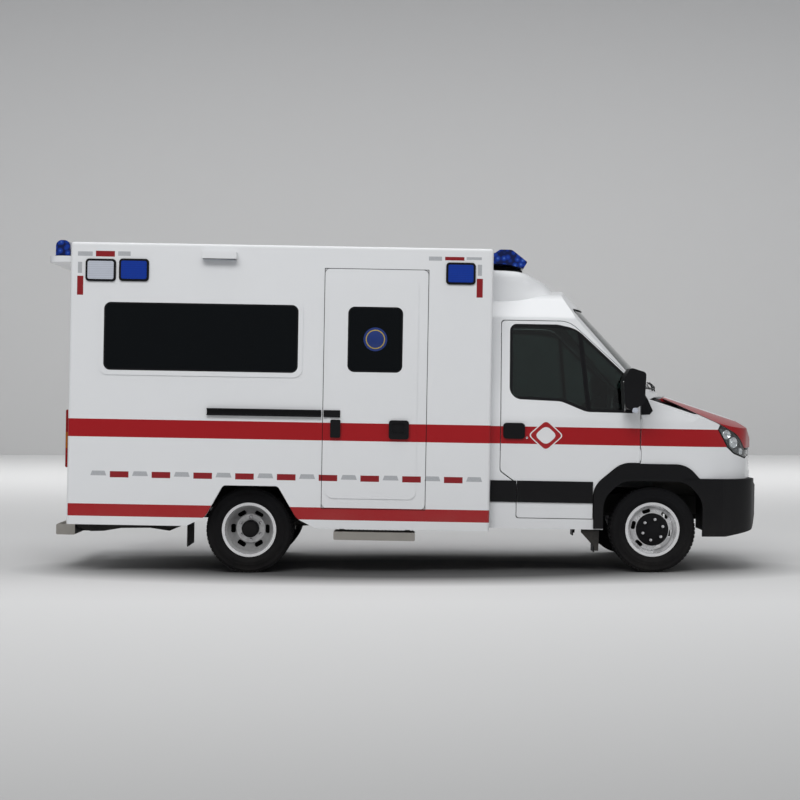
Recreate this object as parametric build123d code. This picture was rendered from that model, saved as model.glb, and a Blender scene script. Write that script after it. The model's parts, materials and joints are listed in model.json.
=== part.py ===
from build123d import *
import math
import os

os.makedirs("parts", exist_ok=True)

# A box ambulance on a light truck chassis. Millimetres, X forward, Y to the left, Z up.
# While it is built, X counts from the front axle and Z from the ground under that axle.
# The whole vehicle is then pitched about the front axle to the rake it stands with.

# Driving dimensions of the whole vehicle
wheelbase = 3300.0
rake_angle = 1.0
frame_origin_x = -1992.4
overrun = 60.0
seat_gap = 0.3
panel_gap = 6.0
running_gap = 0.05
sheet = 8.0
glass_thickness = 6.0

# Road wheels
tyre_radius = 350.0
tyre_width = 195.0
bead_radius = 206.0
flange_radius = 222.0
rim_width = 152.0
rim_wall = 7.0
drop_radius = 186.0
front_half_track = 862.0
rear_half_track = 770.0
twin_spacing = 224.0
hub_radius = 66.0
spindle_radius = 25.0
rear_spindle_radius = 38.0
stud_circle_radius = 86.0
stud_count = 6
opening_count = 6
hand_hole_half_length = 36.0
hand_hole_half_width = 18.0
hand_hole_circle = 141.0
cap_radius = 133.0
disc_radius = 140.0
disc_thickness = 22.0
drum_radius = 165.0

# Cab
cab_rear_x = -1345.0
cab_half_width = 998.0
cab_wall = 45.0
front_wall = 25.0
sill_z = 346.0
waist_z = 1240.0
gutter_half_width = 868.0
gutter_z = 2072.0
roof_shoulder_y = 690.0
roof_shoulder_z = 2268.0
roof_flat_y = 300.0
roof_z = 2325.0
nose_x = 893.0
nose_flat_y = 420.0
nose_corner_x = 760.0
nose_corner_y = 850.0
side_end_x = 420.0
bonnet_rear_x = 169.0
bonnet_rear_z = 1456.0
bonnet_front_x = 673.0
bonnet_front_z = 1297.0
bonnet_crown_radius = 4200.0
screen_foot_x = 126.0
screen_foot_z = 1474.0
screen_top_x = -561.0
screen_top_z = 2189.0
screen_radius = 2700.0
nose_bottom_z = 300.0
nose_top_z = 1080.0
nose_slope_x = 740.0
nose_slope_z = 1262.0
lip_z = 1028.0
belt_z = 1296.0
fender_rear_x = -114.0

# Load box
box_rear_x = -4770.0
box_front_x = -1345.0
box_half_width = 1100.0
box_wall = 45.0
skirt_z = 325.0
wall_top_z = 2540.0
box_top_z = 2612.0
roof_skin = 45.0
floor_z = 730.0
floor_thickness = 40.0
corner_radius = 25.0

# Chassis
rail_outer_y = 440.0
rail_flange = 70.0
rail_bottom_z = 450.0
rail_top_z = 610.0
rail_front_x = 660.0
rail_rear_x = -4690.0
bearer_width = 50.0

half = 0.5
rake = math.radians(rake_angle)
rear_axle_x = -wheelbase * math.cos(rake)
rear_axle_z = tyre_radius - wheelbase * math.sin(rake)
crosswise = Axis.Y


def block(x, y, z):
    """A box between two places on each axis."""
    size = Box(x[1] - x[0], y[1] - y[0], z[1] - z[0])
    return Pos(sum(x) * half, sum(y) * half, sum(z) * half) * size


def outline(rows):
    """A closed face from rows of first place, second place and corner radius."""
    points = [(row[0], row[1]) for row in rows]
    radii = [row[2] for row in rows]
    return make_face(FilletPolyline(*points, radius=radii, close=True))


def from_side(rows, y):
    """A solid with an outline in X and Z, from y[0] to y[1]."""
    return extrude(Plane.XZ.offset(-y[1]) * outline(rows), amount=y[1] - y[0])


def from_front(rows, x):
    """A solid with an outline in Y and Z, from x[0] to x[1]."""
    return extrude(Plane.YZ.offset(x[0]) * outline(rows), amount=x[1] - x[0])


def from_above(rows, z):
    """A solid with an outline in X and Y, from z[0] to z[1]."""
    return extrude(Plane.XY.offset(z[0]) * outline(rows), amount=z[1] - z[0])


def rounded(x, z, radius):
    """Rows of a rectangle with one corner radius."""
    return [
        (x[0], z[0], radius),
        (x[1], z[0], radius),
        (x[1], z[1], radius),
        (x[0], z[1], radius),
    ]


def mirrored_rows(rows):
    """The rows, then the same rows backwards on the other side."""
    return rows + [(-row[0], row[1], row[2]) for row in reversed(rows)]


def spin(rows, y, x=0, z=0):
    """A turned piece about a crosswise line: rows of place along it and radius."""
    face = Plane.YZ * make_face(Polyline(*rows, close=True))
    return Pos(x, y, z) * revolve(face, axis=crosswise, revolution_arc=360)


def rod(start, end, radius):
    """A round bar between two points."""
    run = Vector(*end) - Vector(*start)
    face = Plane(origin=start, z_dir=run) * Circle(radius)
    return extrude(face, amount=run.length)


def flip(shape):
    """The same shape on the other side of the vehicle."""
    return mirror(shape, about=Plane.XZ)


def pair(shape):
    """The shape and its mirror image."""
    return shape + flip(shape)


def save(name, shape):
    """Writes one node, raked and moved to the vehicle's own origin."""
    pivot = Pos(0, 0, tyre_radius)
    settle = Pos(-frame_origin_x, 0, 0) * pivot * Rot(0, rake_angle, 0) * pivot.inverse()
    solids = [settle * solid for solid in shape.solids()]
    export_step(Compound(children=solids), "parts/" + name + ".step")


# The cab's outside, from crossed outlines and two great cylinders

nose_radius_share = 0.4
corner_plan_radius = 350.0
side_plan_radius = 700.0
front_plan_radius = 500.0
shoulder_radius = 200.0
gutter_radius = 40.0
waist_radius = 300.0
flat_radius = 700.0


def plan_rows(inset):
    """The cab seen from above."""
    rows = [
        (cab_half_width - inset, cab_rear_x - inset, 0),
        (cab_half_width - inset, side_end_x - inset, side_plan_radius),
        (nose_corner_y - inset, nose_corner_x - inset, corner_plan_radius),
        (nose_flat_y, nose_x - inset, front_plan_radius),
    ]
    return [(row[1], row[0], row[2]) for row in mirrored_rows(rows)]


def section_rows(inset, bottom):
    """The cab seen from the front."""
    return mirrored_rows([
        (cab_half_width - inset, bottom, 0),
        (cab_half_width - inset, waist_z, waist_radius),
        (gutter_half_width - inset, gutter_z - inset * half, gutter_radius),
        (roof_shoulder_y - inset, roof_shoulder_z - inset, shoulder_radius),
        (roof_flat_y, roof_z - inset, flat_radius),
    ])


def crest(start_x, start_z, end_x, end_z, radius, inset):
    """A great cylinder that lies along a sloping line of the centre plane."""
    run = Vector(end_x - start_x, 0, end_z - start_z).normalized()
    up = Vector(-run.Z, 0, run.X)
    if up.Z < 0:
        up = -up
    middle = Vector((start_x + end_x) * half, 0, (start_z + end_z) * half)
    centre = middle - up * radius
    plane = Plane(origin=centre, x_dir=(0, 1, 0), z_dir=run)
    return plane * Cylinder(radius - inset, wheelbase)


def lower_hull(inset, bottom=nose_bottom_z):
    """The fenders, bonnet and doors up to the waist."""
    plan = from_above(plan_rows(inset), (bottom, screen_foot_z + overrun))
    section = from_front(section_rows(inset, bottom), (cab_rear_x - inset, nose_x + overrun))
    top = screen_foot_z + overrun
    side = from_side(
        [
            (cab_rear_x - inset, bottom, 0),
            (nose_x - inset, bottom, 0),
            (nose_x - inset, nose_top_z, corner_plan_radius * nose_radius_share),
            (nose_slope_x - inset, nose_slope_z - inset * half, shoulder_radius),
            (bonnet_rear_x, top - inset * half, 0),
            (cab_rear_x - inset, top, 0),
        ],
        (-cab_half_width, cab_half_width),
    )
    crown = crest(bonnet_rear_x, bonnet_rear_z, bonnet_front_x, bonnet_front_z,
                  bonnet_crown_radius, inset)
    return plan & section & side & crown


def upper_hull(inset):
    """The windscreen, roof and side windows."""
    reach = (cab_rear_x - inset, screen_foot_x + tyre_radius)
    section = from_front(section_rows(inset, waist_z - overrun), reach)
    glass = crest(screen_foot_x, screen_foot_z, screen_top_x, screen_top_z, screen_radius, inset)
    return section & glass


cab_low_outer = lower_hull(0)
cab_high_outer = upper_hull(0)
cab_outer = cab_low_outer + cab_high_outer
cab_room = lower_hull(cab_wall, sill_z - overrun) + upper_hull(cab_wall)
engine_room = lower_hull(front_wall, sill_z - overrun)

cab_shell = cab_outer - cab_room
nose_shell = cab_low_outer - engine_room

# Openings of the cab, as outlines in X and Z or in Y and Z

door_rear_x = -1257.0
door_step_x = -1120.0
door_step_z = 815.0
door_bottom_z = 434.0
door_front_x = -122.0
door_top_z = 2044.0
door_slope_x = -702.0
door_front_top_z = 1520.0
door_rear_radius = 40.0
door_step_radius = 50.0
door_foot_radius = 20.0
door_top_radius = 30.0
arch_rear_x = -494.0
deep = (cab_half_width - cab_wall * 4, cab_half_width + overrun)
arch_top_z = 890.0
flare_front_x = 440.0
flare_front_z = 700.0
flare_knee_z = 700.0
flare_radius = 200.0
arch_open_rear_x = -414.0
arch_open_front_x = 398.0
arch_open_top_z = 749.0
arch_open_knee_z = 600.0
arch_flat_share = 0.75


def shared(shares, origin, size):
    """Outline rows given as shares of a length, a height and, for the corner, the height."""
    return [
        (origin[0] + along * size[0], origin[1] + up * size[1], corner * size[1])
        for along, up, corner in shares
    ]


def door_rows(gap):
    """The cab door from the side; the gap makes it larger."""
    return [
        (door_rear_x - gap, door_step_z - gap, door_rear_radius),
        (door_step_x - gap, door_step_z - gap - tyre_width * half, door_step_radius),
        (door_step_x - gap, door_bottom_z - gap, door_foot_radius),
        (arch_rear_x - panel_gap + gap, door_bottom_z - gap, 0),
        (arch_rear_x - panel_gap + gap, flare_knee_z, flare_radius),
        (gap - arch_flat_share * tyre_radius - panel_gap, arch_top_z + panel_gap - gap, flare_radius),
        (door_front_x + gap, arch_top_z + panel_gap - gap, 0),
        (door_front_x + gap, door_front_top_z, door_foot_radius),
        (door_slope_x, door_top_z + gap, shoulder_radius),
        (door_rear_x - gap, door_top_z + gap, door_top_radius),
    ]


flare_rows = [
    (arch_rear_x, sill_z + sheet, 0),
    (arch_rear_x, flare_knee_z, flare_radius),
    (-arch_flat_share * tyre_radius, arch_top_z, flare_radius),
    (arch_flat_share * tyre_radius, arch_top_z, flare_radius),
    (flare_front_x, flare_front_z, 0),
    (flare_front_x, sill_z + sheet, 0),
]
arch_rows = [
    (arch_open_rear_x, nose_bottom_z - overrun, 0),
    (arch_open_rear_x, arch_open_knee_z, flare_radius),
    (-tyre_radius * arch_flat_share, arch_open_top_z, flare_radius),
    (tyre_radius * arch_flat_share, arch_open_top_z, flare_radius),
    (arch_open_front_x, arch_open_knee_z, flare_radius),
    (arch_open_front_x, nose_bottom_z - overrun, 0),
]
window_rear_x = -1190.0
window_length = 1030.0
window_sill_z = 1300.0
window_height = 718.0
# Along, up and corner radius
window_shares = [
    (0.0, 1.0, 0.08),
    (0.0, 0.14, 0.14),
    (0.41, 0.12, 0.28),
    (0.61, 0.005, 0.28),
    (1.0, 0.0, 0.035),
    (0.995, 0.34, 0.04),
    (0.53, 0.955, 0.35),
    (0.38, 1.0, 0.28),
]
window_rows = shared(window_shares, (window_rear_x, window_sill_z), (window_length, window_height))

screen_bottom_z = 1500.0
screen_edge_top_z = 2158.0
screen_bottom_y = 866.0
screen_top_y = 740.0
screen_corner = 70.0


def screen_rows(gap):
    """The windscreen's opening from the front."""
    return mirrored_rows([
        (screen_bottom_y + gap, screen_bottom_z - gap, screen_corner),
        (screen_top_y + gap, screen_edge_top_z + gap, screen_corner),
    ])


shut_rear_x = 84.0
shut_rear_z = 1442.0
shut_middle_x = 540.0
shut_middle_z = 1221.0
shut_knee_x = 705.0
shut_knee_z = 1135.0
shut_front_x = 769.0
bonnet_edge_radius = 1833.0
bonnet_edge_x = 205.0


def bonnet_zone(gap):
    """Everything above the bonnet's shut line; the gap makes it larger."""
    line = from_side(
        [
            (shut_rear_x - overrun * 2, shut_rear_z + overrun - gap, 0),
            (shut_rear_x, shut_rear_z - gap, 0),
            (shut_middle_x, shut_middle_z - gap, tyre_radius),
            (shut_knee_x - gap * half, shut_knee_z - gap, shoulder_radius),
            (shut_front_x - gap, lip_z - gap, 0),
            (nose_x + overrun, lip_z - gap, 0),
            (nose_x + overrun, roof_z, 0),
            (shut_rear_x - overrun * 2, roof_z, 0),
        ],
        (-box_half_width, box_half_width),
    )
    edge_centre_x = bonnet_edge_x - gap - bonnet_edge_radius
    return line - Pos(edge_centre_x, 0, screen_foot_z) * Cylinder(bonnet_edge_radius, roof_z)


# Cab panels

roof_split_z = 2062.0
rear_wall = 35.0
cab_floor_z = 700.0
cab_floor_bottom_z = 672.0
housing_y = 530.0
housing_top_z = 812.0
housing_rear_x = -484.0
housing_front_x = 430.0
firewall_x = 20.0
firewall_top_z = 1300.0
cowl_depth = 34.0
cowl_sheet = 10.0
cowl_half_width = 900.0
cowl_front_x = 262.0
step_z = 400.0
step_y = 720.0
pass_half_width = 350.0
pass_bottom_z = 1250.0
pass_top_z = 1850.0
hatch_radius = 60.0
whole_y = (-box_half_width, box_half_width)
whole_z = (nose_bottom_z - overrun, roof_z + overrun)

roof_shell = cab_high_outer - upper_hull(cab_wall)
flare_space = pair(from_side(flare_rows, (cab_half_width - cab_wall, cab_half_width + overrun)))
arch_space = pair(from_side(arch_rows, (housing_y, cab_half_width + overrun)))
door_space = pair(from_side(door_rows(panel_gap), deep))
screen_space = from_front(screen_rows(0), (screen_top_x - tyre_radius, nose_x))
pillar_x = door_front_x + panel_gap
doorway_frame = cab_shell & block((cab_rear_x, pillar_x), whole_y, (sill_z, roof_split_z))
pillar_frame = roof_shell & block((pillar_x, nose_x), whole_y, (belt_z, roof_split_z))
pillar_frame = pillar_frame - cab_low_outer
cab_frame = doorway_frame + pillar_frame - door_space - screen_space - flare_space - arch_space
post_depth = 50.0
post_top_z = 1450.0
door_post = pair(block(
    (fender_rear_x, fender_rear_x + post_depth),
    (cab_half_width - cab_wall * 2, cab_half_width - cab_wall - sheet),
    (housing_top_z, post_top_z),
))
cab_frame = cab_frame + (door_post & cab_outer)
cab_roof = roof_shell & block((cab_rear_x, nose_x), whole_y, (roof_split_z, roof_z + overrun))
cab_roof = cab_roof - screen_space

hatch_space = from_front(
    mirrored_rows([
        (pass_half_width, pass_bottom_z, hatch_radius),
        (pass_half_width, pass_top_z, hatch_radius),
    ]),
    (cab_rear_x - box_wall * 2, cab_rear_x + rear_wall * 2),
)
cab_rear_wall = cab_room & block(
    (cab_rear_x, cab_rear_x + rear_wall), whole_y, (cab_floor_bottom_z, roof_z)
)
cab_rear_wall = cab_rear_wall - hatch_space

housing_space = pair(block(
    (housing_rear_x, firewall_x + rear_wall),
    (housing_y, box_half_width),
    (cab_floor_bottom_z - overrun, housing_top_z),
))
step_space = pair(block(
    (door_step_x, arch_rear_x - sheet * 2),
    (step_y, box_half_width),
    (step_z - overrun, cab_floor_z + overrun),
))
housing_clear = pair(block(
    (housing_rear_x - sheet - seat_gap, firewall_x + rear_wall),
    (housing_y - sheet - seat_gap, box_half_width),
    (cab_floor_bottom_z - overrun, housing_top_z),
))
floor_run = (cab_rear_x + rear_wall, firewall_x - seat_gap)
floor_pan = block(floor_run, whole_y, (cab_floor_bottom_z, cab_floor_z)) - housing_clear - step_space
housing_side = pair(block(
    (housing_rear_x - sheet, firewall_x + rear_wall),
    (housing_y - sheet, housing_y),
    (cab_floor_bottom_z, housing_top_z),
))
housing_back = pair(block(
    (housing_rear_x - sheet, housing_rear_x),
    (housing_y - sheet, box_half_width),
    (cab_floor_bottom_z, housing_top_z),
))
firewall = block((firewall_x, firewall_x + rear_wall), whole_y, (cab_floor_bottom_z, screen_foot_z))
firewall = firewall & lower_hull(cowl_depth + cowl_sheet + seat_gap)
tread = pair(block(
    (door_step_x, arch_rear_x - sheet * 2), (step_y - sheet, box_half_width), (step_z, step_z + sheet)
))
riser = pair(block(
    (door_step_x, arch_rear_x - sheet * 2), (step_y - sheet, step_y), (step_z, cab_floor_z)
))
cab_floor = floor_pan + housing_side + housing_back + (firewall - housing_space) + tread + riser
cab_floor = cab_floor & cab_room

seat_half_gap = 140.0
seat_width = 480.0
seat_base_z = 920.0
cushion_z = 1060.0
back_top_z = 1690.0
seat_front_x = -640.0
seat_rear_x = -1130.0
back_thickness = 130.0
head_width = 270.0
head_height = 210.0
head_thickness = 80.0
base_inset = 50.0
seat_radius = 45.0
seat_y = (seat_half_gap, seat_half_gap + seat_width)
seat_base = block(
    (seat_rear_x + base_inset, seat_front_x - base_inset),
    (seat_y[0] + base_inset, seat_y[1] - base_inset),
    (cab_floor_z + seat_gap, seat_base_z),
)
cab_floor = cab_floor + pair(seat_base)
cushion = from_side(
    rounded((seat_rear_x, seat_front_x), (seat_base_z + seat_gap, cushion_z), seat_radius), seat_y
)
back_rows = [
    (seat_rear_x + seat_gap - back_thickness * half, seat_base_z + seat_gap, seat_radius),
    (seat_rear_x - seat_gap, seat_base_z + seat_gap, 0),
    (seat_rear_x - seat_gap, back_top_z, seat_radius),
    (seat_rear_x - back_thickness * half, back_top_z, seat_radius),
    (seat_rear_x - back_thickness, back_top_z - overrun, 0),
    (seat_rear_x - back_thickness, seat_base_z + overrun, 0),
]
back = from_side(back_rows, seat_y)
head_start_y = seat_half_gap + (seat_width - head_width) * half
head_y = (head_start_y, head_start_y + head_width)
head = from_side(
    rounded(
        (seat_rear_x - seat_radius * half - head_thickness, seat_rear_x - seat_radius * half),
        (back_top_z + seat_gap, back_top_z + head_height),
        seat_radius * half,
    ),
    head_y,
)
cab_seats = pair(cushion + back + head)

# Dashboard with its steering column

dash_rear_x = -400.0
dash_length = 400.0
dash_bottom_z = 990.0
dash_height = 350.0
dash_half_width = 900.0
dash_shares = [
    (1.05, 0.0, 0.0),
    (1.05, 0.85, 0.0),
    (0.9, 1.0, 0.1),
    (0.2, 1.0, 0.15),
    (0.0, 0.75, 0.1),
    (0.15, 0.25, 0.15),
    (0.55, 0.0, 0.2),
]
wheel_y = seat_half_gap + seat_width * half
wheel_x = -470.0
wheel_z = 1330.0
wheel_ring_radius = 195.0
wheel_grip_radius = 15.0
wheel_hub_radius = 50.0
wheel_hub_length = 40.0
column_length = 190.0
column_radius = 32.0
column_tilt = 30.0
dashboard = from_side(
    shared(dash_shares, (dash_rear_x, dash_bottom_z), (dash_length, dash_height)),
    (-dash_half_width, dash_half_width),
)
wheel_plane = Pos(wheel_x, wheel_y, wheel_z) * Rot(0, -column_tilt, 0)
column_start = wheel_hub_length * half + seat_gap
column = Pos(0, 0, -column_start - column_length * half) * Cylinder(column_radius, column_length)
column = wheel_plane * column
dashboard = (dashboard & cab_room) - firewall + column
spoke = Pos(wheel_ring_radius * half, 0, 0) * Box(wheel_ring_radius, wheel_hub_radius, wheel_grip_radius)
steering_wheel = Torus(wheel_ring_radius, wheel_grip_radius)
steering_wheel = steering_wheel + Cylinder(wheel_hub_radius, wheel_hub_length)
for turn in (90, 210, 330):
    steering_wheel = steering_wheel + Rot(0, 0, turn) * spoke
steering_wheel = wheel_plane * steering_wheel

# Front end

lamp_rear_x = 519.0
lamp_length = 285.0
lamp_bottom_z = 930.0
lamp_height = 295.0
lamp_depth = 42.0
lamp_shares = [
    (0.0, 0.835, 0.0),
    (0.105, 1.05, 0.0),
    (1.0, 0.8, 0.0),
    (1.0, 0.0, 0.1),
    (0.5, 0.17, 0.2),
    (0.31, 0.33, 0.3),
]
lamp_zone = from_side(
    shared(lamp_shares, (lamp_rear_x, lamp_bottom_z), (lamp_length, lamp_height)), whole_y
)
lamp_front_zone = pair(block((nose_corner_x, nose_x), (nose_flat_y + tyre_radius * half, cab_half_width),
                             (lamp_bottom_z + overrun * half, lip_z - panel_gap)))
lamp_zone = (lamp_zone + lamp_front_zone) - bonnet_zone(panel_gap)
headlamps = (cab_low_outer - lower_hull(lamp_depth, sill_z - overrun)) & lamp_zone
headlamps = headlamps & block((lamp_rear_x - overrun, nose_x), whole_y, whole_z)

bumper_top_z = 775.0
bumper_front_x = 941.0
bumper_offset = bumper_front_x - nose_x
bumper_wall = 28.0
bumper_rear_x = 240.0
bumper_side_y = 1004.0
intake_half_width = 430.0
intake_bottom_z = 420.0
intake_top_z = 560.0
grille_half_width = 560.0
grille_bottom_z = 835.0
grille_top_z = 995.0
grille_radius = 30.0
panel_split_x = 600.0
grille_space = from_front(
    mirrored_rows([
        (grille_half_width, grille_bottom_z, grille_radius),
        (grille_half_width, grille_top_z, grille_radius),
    ]),
    (panel_split_x, nose_x + overrun),
)
bumper_space = block((bumper_rear_x, nose_x + overrun), whole_y, (nose_bottom_z - overrun, bumper_top_z))
nose_room = nose_shell & block((fender_rear_x, nose_x), whole_y, (bumper_top_z - overrun * 8, roof_z))
nose_room = nose_room - bonnet_zone(panel_gap) - lamp_zone - bumper_space - flare_space - arch_space
cowl_space = (
    block((fender_rear_x, nose_x), (-screen_bottom_y - cab_wall, screen_bottom_y + cab_wall),
          (firewall_top_z, screen_foot_z + overrun))
    - bonnet_zone(0)
)
left_fender = nose_room & block((fender_rear_x, panel_split_x), (0, box_half_width), (sill_z, roof_z))
left_fender = left_fender - cowl_space - door_post
front_panel = nose_room & block((panel_split_x, nose_x), whole_y, (bumper_top_z, lip_z))
front_panel = front_panel - grille_space
bonnet = nose_shell & bonnet_zone(0) & block((fender_rear_x, nose_x), whole_y, (lip_z, roof_z))
pivot_x = 105.0
pivot_z = 1405.0
pivot_y = 476.0
pivot_radius = 5.0
hinge_arm_half = 6.0
hinge_arm_width = 12.0
hinge_arm_length = 130.0
bracket_thickness = 10.0
bracket_z = (1270.0, 1380.0)
hinge_arm = from_side(
    [
        (pivot_x - hinge_arm_width, pivot_z - hinge_arm_width, hinge_arm_half),
        (pivot_x + hinge_arm_length, pivot_z - hinge_arm_width * 3, 0),
        (pivot_x + hinge_arm_length, pivot_z, 0),
        (pivot_x + hinge_arm_width * 2, pivot_z + hinge_arm_width * 2, 0),
        (pivot_x - hinge_arm_width, pivot_z + hinge_arm_width, hinge_arm_half),
    ],
    (pivot_y - hinge_arm_half, pivot_y + hinge_arm_half),
) & lower_hull(front_wall * half)
pivot_at = Pos(pivot_x, pivot_y + hinge_arm_half, pivot_z) * Rot(90, 0, 0)
bonnet = bonnet + pair(hinge_arm)
bonnet = bonnet - pair(pivot_at * Cylinder(pivot_radius + running_gap, hinge_arm_half * 4))
bracket_start_y = pivot_y + hinge_arm_half + seat_gap
bracket_y = (bracket_start_y, bracket_start_y + bracket_thickness)
bracket_x = (pivot_x - hinge_arm_width, pivot_x + hinge_arm_width)
bracket = block((firewall_x + rear_wall, bracket_x[1]), bracket_y, bracket_z)
bracket = bracket + block(bracket_x, bracket_y, (bracket_z[0], pivot_z + hinge_arm_width))
bracket = bracket + rod(
    (pivot_x, pivot_y - hinge_arm_half, pivot_z), (pivot_x, bracket_y[1], pivot_z), pivot_radius
)
cab_floor = cab_floor + pair(bracket)
cowl_layer = lower_hull(cowl_depth) - lower_hull(cowl_depth + cowl_sheet)
cowl = cowl_layer & block(
    (fender_rear_x, cowl_front_x), (-cowl_half_width, cowl_half_width),
    (firewall_top_z, screen_foot_z + overrun),
)
arm_slot = block(
    (bracket_x[0] - panel_gap, cowl_front_x + overrun),
    (pivot_y - hinge_arm_half - panel_gap, bracket_y[1] + panel_gap),
    (firewall_top_z, screen_foot_z + overrun),
)
cowl = cowl - pair(arm_slot)

bar_height = 12.0
bar_pitch = 26.0
bar_count = 5
rib_pitch = 80.0
rib_count = 13
rib_width = 8.0
grille_frame = 12.0
grille_layer = lower_hull(sheet) - lower_hull(front_wall)
inner_mouth = from_front(
    mirrored_rows([
        (grille_half_width - grille_frame, grille_bottom_z + grille_frame, grille_radius * half),
        (grille_half_width - grille_frame, grille_top_z - grille_frame, grille_radius * half),
    ]),
    (panel_split_x, nose_x + overrun),
)
lattice = grille_space - inner_mouth
for number in range(bar_count):
    bar_z = grille_bottom_z + grille_frame + bar_pitch * (number + half)
    lattice = lattice + block(
        (panel_split_x, nose_x), (-grille_half_width, grille_half_width), (bar_z, bar_z + bar_height)
    )
grille = grille_layer & (lattice & grille_space)
rib_layer = lower_hull(sheet * 2) - lower_hull(front_wall)
ribs = []
for number in range(rib_count):
    rib_y = rib_pitch * (number - (rib_count - 1) * half)
    ribs.append(block(
        (panel_split_x, nose_x), (rib_y - rib_width * half, rib_y + rib_width * half),
        (grille_bottom_z + sheet, grille_top_z - sheet),
    ))
rib_set = ribs[0]
for rib in ribs[1:]:
    rib_set = rib_set + rib
grille = grille + (rib_layer & rib_set)

bumper_bottom_z = 302.0
bumper_shares = [
    (0.0, 0.0, 0.0),
    (0.0, 1.0, 0.0),
    (0.923, 1.0, 0.03),
    (0.925, 0.92, 0.0),
    (1.0, 0.85, 0.04),
    (1.0, 0.4, 0.25),
    (0.91, 0.12, 0.2),
    (0.5, 0.01, 0.0),
]
bumper_plan = from_above(plan_rows(-bumper_offset), (bumper_bottom_z, bumper_top_z))
bumper_plan = bumper_plan & from_side(
    shared(
        bumper_shares,
        (bumper_rear_x, bumper_bottom_z),
        (bumper_front_x - bumper_rear_x, bumper_top_z - bumper_bottom_z),
    ),
    (-bumper_side_y, bumper_side_y),
)
bumper_cavity = from_above(plan_rows(front_wall), (bumper_bottom_z - overrun, bumper_top_z + overrun))
bumper_inner = from_above(
    plan_rows(bumper_wall - bumper_offset), (bumper_bottom_z - overrun, bumper_top_z - bumper_wall)
)
bumper_inner = bumper_inner & block(
    (cab_rear_x, nose_x + overrun), (-bumper_side_y + bumper_wall, bumper_side_y - bumper_wall), whole_z
)
intake = from_front(
    mirrored_rows([
        (intake_half_width, intake_bottom_z, grille_radius),
        (intake_half_width, intake_top_z, grille_radius),
    ]),
    (nose_corner_x, nose_x + overrun),
)
intake_middle_z = (intake_bottom_z + intake_top_z) * half
intake_bars = intake & block(
    (nose_x + sheet, bumper_front_x - sheet * 2),
    whole_y,
    (intake_middle_z - bar_height * half, intake_middle_z + bar_height * half),
)
front_bumper = bumper_plan - bumper_cavity - bumper_inner - arch_space - (intake - intake_bars)
front_bumper = front_bumper & block((bumper_rear_x, bumper_front_x), whole_y, whole_z)

flare_outer_y = 1014.0
flare_inner_y = cab_half_width - cab_wall
arch_flares = from_side(flare_rows, (flare_inner_y, flare_outer_y)) - from_side(
    arch_rows, (flare_inner_y - overrun, flare_outer_y + overrun)
)
arch_flares = pair(arch_flares) - bumper_space

# Glass, doors and their fittings

glass_depth = 4.0
hinge_x = -114.0
hinge_y = 994.0
hinge_pin = 3.0
hinge_barrel = 5.6
hinge_length = 70.0
hinge_lug = 10.0
hinge_heights = (960.0, 1210.0)
notch = 8.0
glass_layer = upper_hull(glass_depth) - upper_hull(glass_depth + glass_thickness)
windscreen = glass_layer & from_front(screen_rows(-seat_gap), (screen_top_x - tyre_radius, nose_x))


def hinge(height, lug_reach):
    """A hidden door hinge: the pin with its lugs, the barrel and the room round them."""
    at = Pos(hinge_x, hinge_y, height)
    lug_z = (hinge_length + hinge_lug) * half + seat_gap
    pin = Cylinder(hinge_pin, hinge_length + hinge_lug)
    pin = pin + pair_up(Pos(0, 0, lug_z) * Cylinder(hinge_barrel, hinge_lug))
    pin = pin + pair_up(Pos(0, -lug_reach * half, lug_z) * Box(hinge_barrel * 2, lug_reach, hinge_lug))
    leaf = Pos(-notch, 0, 0) * Box(notch * 2, hinge_pin * half, hinge_length)
    barrel = Cylinder(hinge_barrel, hinge_length) + leaf - Cylinder(hinge_pin + running_gap, hinge_length)
    room = Cylinder(notch, hinge_length + hinge_lug * 3)
    room = room + Pos(0, -lug_reach * half, 0) * Box(notch * 2, lug_reach, hinge_length + hinge_lug * 3)
    return at * pin, at * barrel, at * room


def pair_up(shape):
    """The shape and its mirror image above and below."""
    return shape + mirror(shape, about=Plane.XY)


cab_door = cab_shell & from_side(door_rows(0), deep)
window_space = from_side(window_rows, deep)
door_glass = cab_door & window_space & glass_layer
cab_door = cab_door - window_space
frame_pins = []
for height in hinge_heights:
    pin, barrel, room = hinge(height, cab_wall + sheet)
    cab_door = cab_door - room + barrel
    left_fender = left_fender - room
    frame_pins.append(pin)

moulding_bottom_z = 560.0
moulding_top_z = 735.0
moulding_depth = 10.0
moulding_front_x = -500.0
handle_front_x = -1062.0
handle_rear_x = -1240.0
handle_bottom_z = 1075.0
handle_top_z = 1205.0
handle_depth = 18.0
divider_x = -540.0
divider_lean = 85.0
divider_width = 22.0
mirror_shares = [
    (0.0, 0.76, 0.25),
    (0.1, 0.0, 0.15),
    (0.95, 0.25, 0.1),
    (1.0, 0.9, 0.08),
    (0.3, 1.0, 0.08),
]
mirror_rear_x = -296.0
mirror_bottom_z = 1287.0
mirror_length = 180.0
mirror_height = 380.0
mirror_y = (1035.0, 1262.0)
mirror_glass_inset = 22.0
arm_z = (1380.0, 1560.0)
arm_radius = 16.0
arm_x = -190.0
mirror_body = from_side(
    shared(mirror_shares, (mirror_rear_x, mirror_bottom_z), (mirror_length, mirror_height)), mirror_y
)
door_fittings = mirror_body
for height in arm_z:
    arm = rod(
        (arm_x, cab_half_width - cab_wall * 2, height), (arm_x, mirror_y[0] + sheet, height), arm_radius
    )
    door_fittings = door_fittings + (arm - upper_hull(0))
door_fittings = door_fittings + block(
    (door_step_x, moulding_front_x), (cab_half_width, cab_half_width + moulding_depth),
    (moulding_bottom_z, moulding_top_z)
)
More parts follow.
